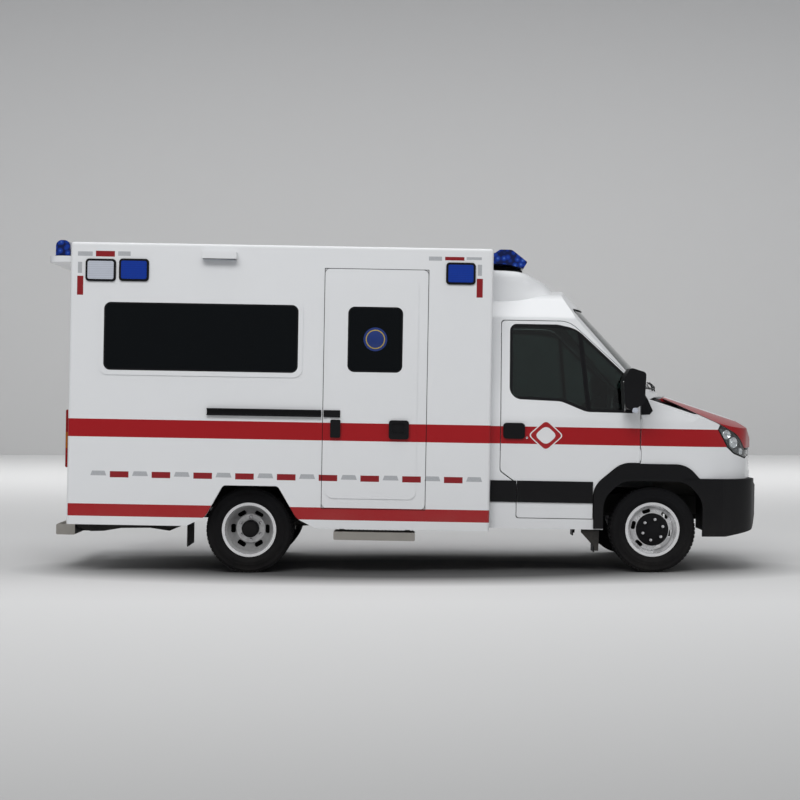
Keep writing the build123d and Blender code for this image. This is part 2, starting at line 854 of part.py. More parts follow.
door_fittings = door_fittings + from_side(
    rounded((handle_rear_x, handle_front_x), (handle_bottom_z, handle_top_z), grille_radius),
    (cab_half_width, cab_half_width + handle_depth),
)
divider_rows = [
    (divider_x - divider_lean - divider_width * half, window_sill_z + window_height, 0),
    (divider_x - divider_width * half, window_sill_z, 0),
    (divider_x + divider_width * half, window_sill_z, 0),
    (divider_x - divider_lean + divider_width * half, window_sill_z + window_height, 0),
]
divider = from_side(divider_rows, deep)
divider_bar = (upper_hull(0) - upper_hull(cab_wall * half)) & divider
divider_bar = divider_bar & window_space & from_side(door_rows(0), deep)
door_glass = door_glass - divider
door_fittings = door_fittings + divider_bar

side_moulding = pair(block(
    (cab_rear_x + sheet, door_step_x - panel_gap), (cab_half_width, cab_half_width + moulding_depth),
    (moulding_bottom_z, moulding_top_z)
))
arch_flares = arch_flares + side_moulding

# Roof fairing and light bars

fairing_front_x = -760.0
fairing_rear_z = 2530.0
fairing_rear_y = 1010.0
fairing_front_y = 640.0
fairing_bottom_z = 2110.0
fairing_length = fairing_front_x - box_front_x
# Along, up and corner radius
fairing_shares = [
    (0.0, 0.0, 0.0),
    (0.0, 1.0, 0.0),
    (0.28, 0.976, 0.95),
    (0.73, 0.785, 0.71),
    (1.0, 0.45, 0.14),
    (0.83, 0.31, 0.24),
    (0.21, 0.0, 0.14),
]
# Along, outward and corner radius
fairing_plan_shares = [
    (0.0, 1.0, 0.0),
    (0.37, 0.95, 0.3),
    (0.85, 0.75, 0.2),
    (1.0, 0.475, 0.2),
]
fairing_rows = shared(
    fairing_shares, (box_front_x, fairing_bottom_z), (fairing_length, fairing_rear_z - fairing_bottom_z)
)
fairing_plan_rows = shared(fairing_plan_shares, (box_front_x, 0), (fairing_length, fairing_rear_y))
fairing_plan_rows = fairing_plan_rows + [(row[0], -row[1], row[2]) for row in reversed(fairing_plan_rows)]
roof_fairing = from_side(fairing_rows, whole_y)
roof_fairing = roof_fairing & from_above(fairing_plan_rows, (gutter_z - overrun, box_top_z))
roof_fairing = roof_fairing & from_front(
    mirrored_rows([
        (fairing_rear_y, gutter_z - overrun, 0),
        (fairing_rear_y, fairing_rear_z - cab_wall, shoulder_radius * half),
        (fairing_front_y, fairing_rear_z + sheet, tyre_radius),
    ]),
    (box_front_x, fairing_front_x),
)
roof_fairing = roof_fairing - cab_outer

bar_half_width = 660.0
bar_length = 297.0
bar_bottom_z = 2460.0
bar_height_all = 186.0
# Along, up and corner radius
light_bar_shares = [
    (0.0, 0.055, 0.05),
    (0.0, 0.75, 0.11),
    (0.225, 1.0, 0.16),
    (0.56, 1.0, 0.32),
    (1.0, 0.457, 0.065),
    (0.83, 0.0, 0.055),
]
light_bar_rows = shared(
    light_bar_shares, (box_front_x + sheet, bar_bottom_z), (bar_length, bar_height_all)
)
front_light_bar = from_side(light_bar_rows, (-bar_half_width, bar_half_width)) - roof_fairing

# Load box

wall_y = (box_half_width - box_wall, box_half_width)
door_space_x = (-2709.0, -1866.0)
door_space_z = (486.0, 2431.0)
side_door_radius = 40.0
side_door_gap = 4.0
side_window_x = (-4490.0, -2916.0)
side_window_z = (1578.0, 2128.0)
window_radius = 55.0
window_border = 38.0
border_height = 7.0
door_window_x = (-2515.0, -2070.0)
door_window_z = (1594.0, 2124.0)
panel_radius = 60.0
arch_low_x = (-3860.0, -2690.0)
arch_knee_x = (-3648.0, -2905.0)
arch_crown_x = (-3505.0, -3061.0)
arch_knee_z = 400.0
arch_crown_z = 660.0
arch_knee_radius = 120.0
arch_crown_radius = 40.0
wheel_cut_rows = [
    (arch_low_x[0], skirt_z - overrun * half, 0),
    (arch_knee_x[0], arch_knee_z, arch_knee_radius),
    (arch_crown_x[0], arch_crown_z, arch_crown_radius),
    (arch_crown_x[1], arch_crown_z, arch_crown_radius),
    (arch_knee_x[1], arch_knee_z, arch_knee_radius),
    (arch_low_x[1], skirt_z - overrun * half, 0),
]
through = (box_half_width - box_wall - overrun, box_half_width + overrun)
box_x = (box_rear_x, box_front_x)


def window_ring(x, z, radius):
    """A raised border round a window."""
    outer_x = (x[0] - window_border, x[1] + window_border)
    outer_z = (z[0] - window_border, z[1] + window_border)
    ring = from_side(
        rounded(outer_x, outer_z, radius + window_border * half),
        (box_half_width, box_half_width + border_height),
    )
    return ring - from_side(rounded(x, z, radius), through)


def window_pane(x, z, radius):
    """A pane that lies 0.3 mm inside its opening."""
    inner_x = (x[0] + seat_gap, x[1] - seat_gap)
    inner_z = (z[0] + seat_gap, z[1] - seat_gap)
    depth = (box_half_width - glass_thickness, box_half_width)
    return from_side(rounded(inner_x, inner_z, radius), depth)


left_wall = block(box_x, wall_y, (skirt_z, wall_top_z))
corner_edges = left_wall.edges().filter_by(Axis.Z).group_by(Axis.Y)[-1]
left_wall = fillet(corner_edges, corner_radius)
left_wall = left_wall - from_side(wheel_cut_rows, through)
left_wall = left_wall - from_side(rounded(side_window_x, side_window_z, window_radius), through)
left_wall = left_wall + window_ring(side_window_x, side_window_z, window_radius)
right_wall = flip(left_wall)
right_wall = right_wall - flip(from_side(rounded(door_space_x, door_space_z, side_door_radius), through))
box_windows = pair(window_pane(side_window_x, side_window_z, window_radius))

door_x = (door_space_x[0] + side_door_gap, door_space_x[1] - side_door_gap)
door_z = (door_space_z[0] + side_door_gap, door_space_z[1] - side_door_gap)
plug_x = (door_space_x[0] + seat_gap, door_space_x[1] - seat_gap)
plug_z = (door_space_z[0] + seat_gap, door_space_z[1] - seat_gap)
door_skin = 15.0
panel_x = (-2674.0, -1946.0)
panel_z = (570.0, 2362.0)
panel_height = 6.0
side_door = from_side(
    rounded(door_x, door_z, side_door_radius), (box_half_width - door_skin, box_half_width + sheet * half)
)
side_door = side_door + from_side(
    rounded(plug_x, plug_z, side_door_radius), (box_half_width - box_wall, box_half_width - door_skin)
)
side_door = side_door + from_side(
    rounded(panel_x, panel_z, panel_radius),
    (box_half_width, box_half_width + sheet * half + panel_height),
)
side_door = side_door + window_ring(door_window_x, door_window_z, window_radius)
side_door = side_door - from_side(rounded(door_window_x, door_window_z, window_radius), through)
side_door = flip(side_door)
box_windows = box_windows + flip(window_pane(door_window_x, door_window_z, window_radius))

rail_x = (-3645.0, -2720.0)
rail_z = (1225.0, 1283.0)
rail_depth = 30.0
rail_lip = 12.0
catch_x = (-2644.0, -2562.0)
catch_z = (1061.0, 1207.0)
catch_depth = 24.0
grip_x = (-2171.0, -2008.0)
grip_z = (1056.0, 1210.0)
grip_depth = 22.0
bridge_x = (-2700.0, -2566.0)
raised_y = box_half_width + sheet * half + panel_height
door_rail = block(rail_x, (box_half_width, box_half_width + rail_depth), rail_z)
door_rail = door_rail - block(
    (rail_x[0] - overrun, rail_x[1] + overrun),
    (box_half_width + sheet, box_half_width + rail_depth + overrun),
    (rail_z[0] + rail_lip, rail_z[1] - rail_lip),
)
roller = block(bridge_x, (raised_y, raised_y + catch_depth * half), rail_z)
catch = from_side(rounded(catch_x, catch_z, rail_lip), (raised_y, raised_y + catch_depth))
grip = from_side(rounded(grip_x, grip_z, rail_lip * 2), (raised_y, raised_y + grip_depth))
grip = grip - from_side(
    rounded(
        (grip_x[0] + rail_lip * 2, grip_x[1] - rail_lip * 3),
        (grip_z[0] + rail_lip * 4, grip_z[1] - rail_lip * 2),
        rail_lip,
    ),
    (raised_y + rail_lip * half, raised_y + grip_depth + overrun),
)
side_door_fittings = flip(door_rail + roller + catch + grip)

roof_flange = 55.0
box_roof = block(box_x, (-box_half_width, box_half_width), (wall_top_z, box_top_z))
upright = box_roof.edges().filter_by(Axis.Z)
box_roof = fillet(upright, corner_radius)
top_edges = box_roof.edges().group_by(Axis.Z)[-1]
box_roof = fillet(top_edges, corner_radius)
box_roof = box_roof - block(
    (box_rear_x + roof_flange, box_front_x - roof_flange),
    (-box_half_width + roof_flange, box_half_width - roof_flange),
    (wall_top_z - overrun, box_top_z - roof_skin),
)

inner_y = box_half_width - box_wall
front_hatch_x = (box_front_x - box_wall, box_front_x)
box_front_wall = block(front_hatch_x, (-inner_y, inner_y), (floor_z - floor_thickness, wall_top_z))
box_front_wall = box_front_wall - hatch_space

rear_opening_y = 700.0
rear_opening_z = (floor_z, 2345.0)
rear_wall_x = (box_rear_x, box_rear_x + box_wall)
rear_sill_z = 560.0
rear_opening_rows = mirrored_rows([
    (rear_opening_y, rear_opening_z[0], 0),
    (rear_opening_y, rear_opening_z[1], side_door_radius),
])
box_rear_frame = block(rear_wall_x, (-inner_y, inner_y), (rear_sill_z, wall_top_z))
box_rear_frame = box_rear_frame - from_front(
    rear_opening_rows, (box_rear_x - overrun, box_rear_x + box_wall + overrun)
)
shelf_rear_x = -4968.0
shelf_z = (2450.0, 2500.0)
shelf_half_width = 1040.0
shelf_radius = 120.0
shelf = from_above(
    [
        (shelf_rear_x, -shelf_half_width, shelf_radius),
        (shelf_rear_x, shelf_half_width, shelf_radius),
        (box_rear_x, shelf_half_width, 0),
        (box_rear_x, -shelf_half_width, 0),
    ],
    shelf_z,
)
box_rear_frame = box_rear_frame + shelf
rear_bar_half = 900.0
rear_bar_x = (-4930.0, -4812.0)
rear_bar_top_z = 2640.0
rear_bar_radius = 50.0
rear_bar_rows = [
    (rear_bar_x[0], shelf_z[1], 0),
    (rear_bar_x[0], rear_bar_top_z, rear_bar_radius),
    (rear_bar_x[1], rear_bar_top_z, rear_bar_radius),
    (rear_bar_x[1], shelf_z[1], 0),
]
rear_light_bar = from_side(rear_bar_rows, (-rear_bar_half, rear_bar_half))

centre_gap = 5.0
rear_door_y = (centre_gap, rear_opening_y - panel_gap)
rear_door_z = (rear_opening_z[0] + panel_gap, rear_opening_z[1] - panel_gap)
rear_window_y = (150.0, 560.0)
rear_window_z = (1600.0, 2120.0)
rear_hinge_stand = 12.0
rear_hinge_inset = 2.0
rear_hinge_x = box_rear_x - rear_hinge_stand
rear_hinge_y = rear_opening_y - rear_hinge_inset
rear_hinge_radius = 11.0
rear_hinge_pin = 5.0
rear_hinge_length = 90.0
rear_hinge_heights = (900.0, 1500.0, 2200.0)
strap_thickness = 6.0
strap_reach = 90.0
rear_door = from_front(
    rounded(rear_door_y, rear_door_z, side_door_radius), (box_rear_x, box_rear_x + box_wall)
)
pane_space = from_front(
    rounded(rear_window_y, rear_window_z, window_radius),
    (box_rear_x - overrun, box_rear_x + box_wall + overrun),
)
rear_door = rear_door - pane_space
rear_door_glass = from_front(
    rounded(
        (rear_window_y[0] + seat_gap, rear_window_y[1] - seat_gap),
        (rear_window_z[0] + seat_gap, rear_window_z[1] - seat_gap),
        window_radius,
    ),
    (box_rear_x + glass_depth, box_rear_x + glass_depth + glass_thickness),
)
for height in rear_hinge_heights:
    at = Pos(rear_hinge_x, rear_hinge_y, height)
    barrel = at * Cylinder(rear_hinge_radius, rear_hinge_length)
    strap = block(
        (box_rear_x - strap_thickness, box_rear_x),
        (rear_hinge_y - strap_reach, rear_hinge_y),
        (height - rear_hinge_length * half, height + rear_hinge_length * half),
    )
    bore = at * Cylinder(rear_hinge_pin + running_gap, rear_hinge_length + overrun)
    rear_door = rear_door + barrel + strap - bore
    lugs = pair_up(
        Pos(0, strap_reach * half * half, (rear_hinge_length + hinge_lug * 2) * half + seat_gap)
        * Box(strap_thickness * 2, strap_reach * half, hinge_lug * 2)
    )
    cheeks = pair_up(
        Pos(0, 0, (rear_hinge_length + hinge_lug * 2) * half + seat_gap)
        * Cylinder(rear_hinge_radius, hinge_lug * 2)
    )
    pin = Cylinder(rear_hinge_pin, rear_hinge_length + hinge_lug)
    fixed = at * (lugs + cheeks + pin) - block(
        (box_rear_x, box_rear_x + box_wall), whole_y, whole_z
    )
    bridge = block(
        (box_rear_x - strap_thickness, box_rear_x),
        (rear_hinge_y, rear_hinge_y + strap_reach),
        (height - rear_hinge_length, height + rear_hinge_length),
    ) - at * Cylinder(rear_hinge_radius + seat_gap * 2, rear_hinge_length + seat_gap * 2)
    box_rear_frame = box_rear_frame + pair(fixed + (bridge - rear_door))

# Floor of the load box with the step well of the side door

well_x = (-2690.0, -1885.0)
well_y = 760.0
well_z = 500.0
box_floor = block(
    (box_rear_x + box_wall, box_front_x - box_wall), (-inner_y, inner_y),
    (floor_z - floor_thickness, floor_z),
)
well_outer = block(well_x, (-inner_y, -well_y), (well_z - sheet, floor_z))
well_inner = block(
    (well_x[0] + sheet, well_x[1] - sheet), (-inner_y - overrun, -well_y - sheet),
    (well_z, floor_z + overrun),
)
well_room = block(
    (well_x[0] - seat_gap, well_x[1] + seat_gap), (-inner_y - overrun, -well_y + seat_gap),
    (well_z - overrun, floor_z + overrun),
)
box_floor = (box_floor - well_room) + (well_outer - well_inner)
rear_sill = block(
    (box_rear_x + box_wall, rail_rear_x - seat_gap), (-inner_y, inner_y),
    (rear_sill_z, floor_z - floor_thickness - seat_gap),
)
box_floor = box_floor + rear_sill

# Lamps on the load box

bezel_width = 18.0
bezel_depth = 12.0
lamp_bulge = 20.0
lamp_radius = 30.0
white_lamp = ((-4645.0, -4399.0), (2293.0, 2475.0))
# Along and height of each blue lamp
blue_lamp_places = (
    ((-4374.0, -4132.0), (2298.0, 2480.0)),
    ((-1729.0, -1490.0), (2316.0, 2494.0)),
)
scene_lamp_x = (-3692.0, -3428.0)
scene_lamp_z = (2479.0, 2539.0)
scene_lamp_depth = 70.0


def side_lamp(x, z):
    """A lens with the bezel round it, on the left wall."""
    lens = from_side(
        rounded(
            (x[0] + bezel_width, x[1] - bezel_width), (z[0] + bezel_width, z[1] - bezel_width),
            lamp_radius * half,
        ),
        (box_half_width, box_half_width + lamp_bulge),
    )
    bezel = from_side(rounded(x, z, lamp_radius), (box_half_width, box_half_width + bezel_depth))
    return lens, bezel - lens


white_lens, bezel = side_lamp(*white_lamp)
scene_lamp = from_side(
    [
        (scene_lamp_x[0], scene_lamp_z[0], 0),
        (scene_lamp_x[1], scene_lamp_z[0], 0),
        (scene_lamp_x[1] - lamp_radius, scene_lamp_z[1], lamp_radius * half),
        (scene_lamp_x[0] + lamp_radius, scene_lamp_z[1], lamp_radius * half),
    ],
    (box_half_width, box_half_width + scene_lamp_depth),
)
white_lamps = white_lens + scene_lamp
lamp_bezels = bezel
blue_lamps = front_light_bar + rear_light_bar
blue_side = None
for x, z in blue_lamp_places:
    lens, bezel = side_lamp(x, z)
    blue_side = lens if blue_side is None else blue_side + lens
    lamp_bezels = lamp_bezels + bezel
lamp_bezels = pair(lamp_bezels)
clear_lamps = pair(white_lamps)
blue_lamps = blue_lamps + pair(blue_side)

tail_lamp_y = (880.0, 1010.0)
tail_lamp_z = (780.0, 1250.0)
tail_lamp_depth = 35.0
tail_lamps = pair(block((box_rear_x - tail_lamp_depth, box_rear_x), tail_lamp_y, tail_lamp_z))
tail_lamps = fillet(tail_lamps.edges().group_by(Axis.X)[0], lamp_radius * half)

# Chassis

channel = block(
    (rail_rear_x, rail_front_x), (rail_outer_y - rail_flange, rail_outer_y), (rail_bottom_z, rail_top_z)
)
channel = channel - block(
    (rail_rear_x - overrun, rail_front_x + overrun),
    (rail_outer_y - rail_flange - overrun, rail_outer_y - sheet),
    (rail_bottom_z + sheet, rail_top_z - sheet),
)
member_places = (-4640.0, -3950.0, -2600.0, -1700.0, -1000.0)
member_width = 70.0
member_bottom_z = 525.0
bearer_places = (-4420.0, -3860.0, -2740.0, -2100.0, -1450.0)
cab_mount_places = (-1180.0, -640.0)
chassis_frame = pair(channel)
web_y = rail_outer_y - sheet
for place in member_places:
    chassis_frame = chassis_frame + block(
        (place, place + member_width), (-web_y, web_y), (member_bottom_z, rail_top_z - sheet)
    )
for place in bearer_places:
    chassis_frame = chassis_frame + block(
        (place, place + bearer_width), (-inner_y, inner_y),
        (rail_top_z + seat_gap, floor_z - floor_thickness),
    )
for place in cab_mount_places:
    chassis_frame = chassis_frame + block(
        (place, place + bearer_width), (-housing_y, housing_y), (rail_top_z + seat_gap, cab_floor_bottom_z)
    )
chassis_frame = chassis_frame - block(
    (well_x[0] - seat_gap, well_x[1] + seat_gap),
    (-box_half_width, -well_y + seat_gap),
    (well_z - sheet - seat_gap, floor_z),
)
eye_x = -4800.0
eye_z = 400.0
eye_radius = 42.0
eye_bore = 22.0
eye_y = (290.0, 318.0)
eye_plate = from_side(
    [
        (eye_x - eye_radius, eye_z - eye_radius, eye_radius * (1 - half * half)),
        (eye_x - eye_radius, eye_z + eye_radius, eye_radius * (1 - half * half)),
        (rail_rear_x + member_width, rail_top_z - sheet, 0),
        (rail_rear_x + member_width, member_bottom_z, 0),
    ],
    eye_y,
)
eye_middle = Pos(eye_x, sum(eye_y) * half, eye_z) * Rot(90, 0, 0)
eye_plate = eye_plate + eye_middle * Cylinder(eye_radius, eye_y[1] - eye_y[0])
eye_plate = eye_plate - eye_middle * Cylinder(eye_bore, overrun)
chassis_frame = chassis_frame + pair(eye_plate)
nose_bracket = pair(block(
    (rail_front_x - member_width, nose_corner_x), (rail_outer_y - rail_flange, rail_outer_y),
    (rail_bottom_z + sheet, rail_top_z),
))
crash_beam = block(
    (nose_corner_x, nose_corner_x + member_width), (-rail_outer_y, rail_outer_y),
    (rail_bottom_z + sheet, rail_top_z),
)
chassis_frame = chassis_frame + nose_bracket + crash_beam

# Front suspension; the steering pivots stand in its arms

kingpin_y = 760.0
kingpin_radius = 13.0
lower_arm_z = (185.0, 210.0)
upper_arm_z = (490.0, 514.0)
arm_end_y = 778.0
arm_half = 140.0
arm_tip = 28.0
pin_reach = 32.0
cross_half = 90.0
cross_z = (300.0, 400.0)
damper_radius = 28.0
damper_y = (640.0, 470.0)
damper_x = -62.0
rack_x = -130.0
rack_z = 287.0
rack_radius = 16.0
rack_housing_radius = 27.0
rack_housing_half = 290.0
rod_radius = 10.0
rod_end_y = 735.0
rack_thick_y = 560.0


def arm(z):
    """A wishbone of the left side, seen from above."""
    return from_above(
        [
            (-arm_half, rail_outer_y - rail_flange, 0),
            (arm_half, rail_outer_y - rail_flange, 0),
            (arm_tip, arm_end_y, arm_tip * half),
            (-arm_tip, arm_end_y, arm_tip * half),
        ],
        z,
    )


post_z = (lower_arm_z[1] + seat_gap, upper_arm_z[0] - seat_gap)
pins = Pos(0, kingpin_y, lower_arm_z[1] + pin_reach * half) * Cylinder(kingpin_radius, pin_reach)
pins = pins + Pos(0, kingpin_y, upper_arm_z[0] - pin_reach * half) * Cylinder(kingpin_radius, pin_reach)
lower_bracket = block(
    (-arm_half, arm_half), (rail_outer_y - rail_flange * 2, rail_outer_y - rail_flange * half),
    (lower_arm_z[0], rail_bottom_z - seat_gap),
)
upper_bracket = block((-arm_half, arm_half), (rail_outer_y, rail_outer_y + rail_flange * half), upper_arm_z)
damper = rod(
    (damper_x, damper_y[0], lower_arm_z[0] + sheet), (damper_x, damper_y[1], rail_top_z - overrun),
    damper_radius,
)
front_side = arm(lower_arm_z) + lower_bracket + pins + damper
front_side = front_side + (arm(upper_arm_z) - block((-wheelbase, wheelbase), (0, rail_outer_y), whole_z))
front_side = front_side - block((-wheelbase, wheelbase), (0, rail_outer_y), (rail_bottom_z, roof_z))
cross_member = block((-cross_half, cross_half), (-rail_outer_y, rail_outer_y), cross_z)
rack_room = Pos(rack_x, 0, rack_z) * Rot(90, 0, 0) * Cylinder(rack_radius + running_gap, rail_outer_y * 4)
rack_house = Pos(rack_x, 0, rack_z) * Rot(90, 0, 0) * Cylinder(rack_housing_radius, rack_housing_half * 2)
rack_foot = pair(block(
    (rack_x - rack_housing_radius, -cross_half + sheet),
    (rack_housing_half - member_width, rack_housing_half),
    (rack_z, cross_z[1] - sheet),
))
front_suspension = pair(front_side) + cross_member + rack_house + rack_foot - rack_room

# Steering knuckles

post_half = 30.0
spindle_reach = 40.0
spindle_end_y = front_half_track + spindle_reach
steer_arm_x = -130.0
steer_arm_y = 735.0
steer_arm_thickness = 18.0
steer_arm_radius = 20.0
knuckle = block((-post_half, post_half), (kingpin_y - post_half, kingpin_y + post_half * half), post_z)
knuckle = knuckle + rod((0, kingpin_y, tyre_radius), (0, spindle_end_y, tyre_radius), spindle_radius)
steer_arm = from_above(
    [
        (steer_arm_x - steer_arm_radius, steer_arm_y - steer_arm_radius, steer_arm_radius * half),
        (post_half, kingpin_y - post_half, 0),
        (post_half, kingpin_y, 0),
        (steer_arm_x - steer_arm_radius, steer_arm_y + steer_arm_radius, steer_arm_radius * half),
    ],
    (rack_z + rack_radius, rack_z + rack_radius + steer_arm_thickness),
)
knuckle = knuckle + steer_arm
for end in (lower_arm_z[1], upper_arm_z[0]):
    pin_bore = Cylinder(kingpin_radius + running_gap, pin_reach * 2 + sheet)
    knuckle = knuckle - Pos(0, kingpin_y, end) * pin_bore

rack_bar = Pos(rack_x, 0, rack_z) * Rot(90, 0, 0) * Cylinder(rack_radius, rack_thick_y * 2)
tie = rod((rack_x, rack_thick_y - sheet, rack_z), (rack_x, rod_end_y, rack_z), rod_radius)
tie_end = Pos(rack_x, rod_end_y, rack_z - seat_gap) * Cylinder(rack_radius, (rack_radius - seat_gap) * 2)
steering_rack = rack_bar + pair(tie + tie_end)

# Rear axle and springs

axle_radius = 55.0
axle_end_y = 580.0
diff_radius = 165.0
diff_length = 230.0
pinion_radius = 60.0
pinion_reach = 285.0
pinion_x = rear_axle_x + pinion_reach
plate_radius = 160.0
plate_thickness = 12.0
rear_spindle_reach = 79.0
spindle_length_y = rear_half_track + rear_spindle_reach
spring_y = (468.0, 538.0)
spring_reach = (680.0, 640.0)
spring_eye_x = (rear_axle_x - spring_reach[0], rear_axle_x + spring_reach[1])
spring_eye_z = 425.0
leaf_thickness = 14.0
leaf_count = 3
leaf_step = 130.0
seat_half = 60.0
eye_tube_radius = 26.0
drum_set_in = 188.0
drum_face_y = rear_half_track - drum_set_in
axle = Pos(rear_axle_x, 0, rear_axle_z)
rear_axle = axle * Rot(90, 0, 0) * Cylinder(axle_radius, axle_end_y * 2)
ball = [
    (-diff_length * half, 0),
    (-diff_length * half, axle_radius),
    (-diff_length * half * half, diff_radius * (1 - half * half * half)),
    (0, diff_radius),
    (diff_length * half * half, diff_radius * (1 - half * half * half)),
    (diff_length * half, axle_radius),
    (diff_length * half, 0),
]
rear_axle = rear_axle + spin(ball, 0, rear_axle_x, rear_axle_z)
rear_axle = rear_axle + rod((rear_axle_x, 0, rear_axle_z), (pinion_x, 0, rear_axle_z), pinion_radius)
backplate = Rot(90, 0, 0) * Cylinder(plate_radius, plate_thickness)
side_axle = axle * Pos(0, drum_face_y - plate_thickness * half - seat_gap, 0) * backplate
side_axle = side_axle + rod(
    (rear_axle_x, axle_end_y - member_width, rear_axle_z),
    (rear_axle_x, spindle_length_y, rear_axle_z), rear_spindle_radius,
)
spring_top_z = rear_axle_z + axle_radius + leaf_thickness * leaf_count
pad = block(
    (rear_axle_x - seat_half, rear_axle_x + seat_half), spring_y, (rear_axle_z, rear_axle_z + axle_radius)
)
rear_axle = rear_axle + pair(side_axle + pad)

spring = None
for number in range(leaf_count):
    reach = leaf_step * number
    low = rear_axle_z + axle_radius + leaf_thickness * (leaf_count - 1 - number)
    lift = (spring_eye_z - spring_top_z) * (1 - number / leaf_count)
    rows = [
        (spring_eye_x[0] + reach, low + lift, 0),
        (rear_axle_x - seat_half, low, tyre_radius),
        (rear_axle_x + seat_half, low, tyre_radius),
        (spring_eye_x[1] - reach, low + lift, 0),
        (spring_eye_x[1] - reach, low + lift + leaf_thickness, 0),
        (rear_axle_x + seat_half, low + leaf_thickness, tyre_radius),
        (rear_axle_x - seat_half, low + leaf_thickness, tyre_radius),
        (spring_eye_x[0] + reach, low + lift + leaf_thickness, 0),
    ]
    leaf = from_side(rows, spring_y)
    spring = leaf if spring is None else spring + leaf
for place in spring_eye_x:
    spring = spring + block(
        (place - eye_tube_radius, place + eye_tube_radius), spring_y,
        (spring_eye_z - eye_tube_radius, spring_eye_z + eye_tube_radius),
    )
    spring = spring + block(
        (place - eye_tube_radius, place + eye_tube_radius), (rail_outer_y, spring_y[1]),
        (spring_eye_z + eye_tube_radius * half, rail_bottom_z + member_width),
    )
clamp = block(
    (rear_axle_x - seat_half, rear_axle_x + seat_half), spring_y,
    (spring_top_z, spring_top_z + leaf_thickness),
)
spring = spring + clamp
suspension = front_suspension + pair(spring)

# Engine, gearbox, propeller shaft, exhaust and radiator

engine_x = (90.0, 640.0)
engine_half = 250.0
engine_z = (475.0, 1130.0)
radiator_x = (700.0, 735.0)
radiator_half = 340.0
radiator_z = (rail_top_z + overrun, 980.0)
gearbox_x = -520.0
gearbox_radius = 115.0
gearbox_z = 500.0
shaft_radius = 36.0
flange_reach = 30.0
shaft_flange_x = pinion_x + flange_reach
silencer_x = (-2300.0, -1620.0)
silencer_y = -600.0
silencer_z = 400.0
silencer_radius = 88.0
pipe_radius = 28.0
tail_x = -2640.0
tail_y = -960.0
powertrain = block(engine_x, (-engine_half, engine_half), engine_z)
powertrain = powertrain + (
    rod((engine_x[0] + overrun, 0, gearbox_z + overrun * half), (gearbox_x, 0, gearbox_z), gearbox_radius)
    - block((engine_x[0] - seat_gap, engine_x[1]), whole_y, whole_z)
)
powertrain = powertrain + rod((gearbox_x, 0, gearbox_z), (shaft_flange_x, 0, rear_axle_z), shaft_radius)
powertrain = powertrain + rod(
    (shaft_flange_x + sheet, 0, rear_axle_z), (pinion_x + seat_gap, 0, rear_axle_z), pinion_radius
)
powertrain = powertrain + block(radiator_x, (-radiator_half, radiator_half), radiator_z)
radiator_feet = pair(block(
    radiator_x, (rail_outer_y - rail_flange * 2, rail_outer_y - rail_flange),
    (rail_top_z - member_width, radiator_z[0]),
))
powertrain = powertrain + radiator_feet
silencer = rod(
    (silencer_x[0], silencer_y, silencer_z), (silencer_x[1], silencer_y, silencer_z), silencer_radius
)
pipe_y = -300.0
manifold_x = 200.0
manifold_z = 560.0
pipe_bend_x = (-250.0, -900.0, -1500.0)
pipe_bend_z = 500.0
pipe_route = (
    (manifold_x, -engine_half + sheet, manifold_z),
    (pipe_bend_x[0], pipe_y, pipe_bend_z),
    (pipe_bend_x[1], pipe_y, silencer_z),
    (pipe_bend_x[2], silencer_y, silencer_z),
    (silencer_x[1] - sheet, silencer_y, silencer_z),
)
tail_route = (
    (silencer_x[0] + sheet, silencer_y, silencer_z),
    (tail_x, silencer_y, silencer_z),
    (tail_x, tail_y, silencer_z - overrun),
)
exhaust = silencer
for route in (pipe_route, tail_route):
    for start, end in zip(route, route[1:]):
        exhaust = exhaust + rod(start, end, pipe_radius)
    for bend in route[1:-1]:
        exhaust = exhaust + Pos(*bend) * Sphere(pipe_radius)
exhaust = exhaust + block(
    (silencer_x[0] + member_width, silencer_x[0] + member_width * 2),
    (silencer_y, -rail_outer_y), (silencer_z + pipe_radius, rail_bottom_z + member_width),
)
exhaust = exhaust - block(
    (rail_rear_x, rail_front_x), (-rail_outer_y, rail_outer_y), (rail_bottom_z, rail_top_z)
)
powertrain = powertrain + exhaust

tank_x = (-2600.0, -1750.0)
tank_y = (495.0, 930.0)
tank_z = (335.0, 600.0)
tank_radius = 50.0
fuel_tank = from_side(rounded(tank_x, tank_z, tank_radius), tank_y)
for place in (tank_x[0] + member_width * 2, tank_x[1] - member_width * 3):
    fuel_tank = fuel_tank + block(
        (place, place + member_width), (rail_outer_y, tank_y[0]),
        (tank_z[1] - member_width * 2, tank_z[1] - sheet),
    )

# Arch liners and mudflaps

liner_shoulder_z = 640.0
liner_flat_x = (-330.0, 300.0)
liner_radius = 100.0


def liner_rows(inset, bottom):
    """The arch liner from the side, its wall set in."""
    return [
        (housing_rear_x + inset, bottom, 0),
        (housing_rear_x + inset, liner_shoulder_z, liner_radius),
        (liner_flat_x[0], housing_top_z - seat_gap - inset, liner_radius),
        (liner_flat_x[1], housing_top_z - seat_gap - inset, liner_radius),
        (housing_front_x - inset, liner_shoulder_z, liner_radius),
        (housing_front_x - inset, bottom, 0),
    ]


liner_y = (housing_y, cab_half_width - cab_wall - seat_gap)
liner = from_side(liner_rows(seat_gap, sill_z), liner_y)
liner = liner - from_side(liner_rows(sheet, sill_z - overrun), (0, box_half_width))
flap_thickness = 9.0
front_flap_x = housing_rear_x + seat_gap
front_flap_y = (760.0, 952.0)
front_flap_z = 160.0
rear_flap_x = -3800.0
rear_flap_y = (575.0, 1000.0)
rear_flap_z = 150.0
front_flap = block((front_flap_x, front_flap_x + flap_thickness), front_flap_y, (front_flap_z, sill_z))
rear_flap = block(
    (rear_flap_x, rear_flap_x + flap_thickness), rear_flap_y, (rear_flap_z, floor_z - floor_thickness)
)
arch_liners = pair(liner + front_flap + rear_flap)

# Steps behind and under the side door

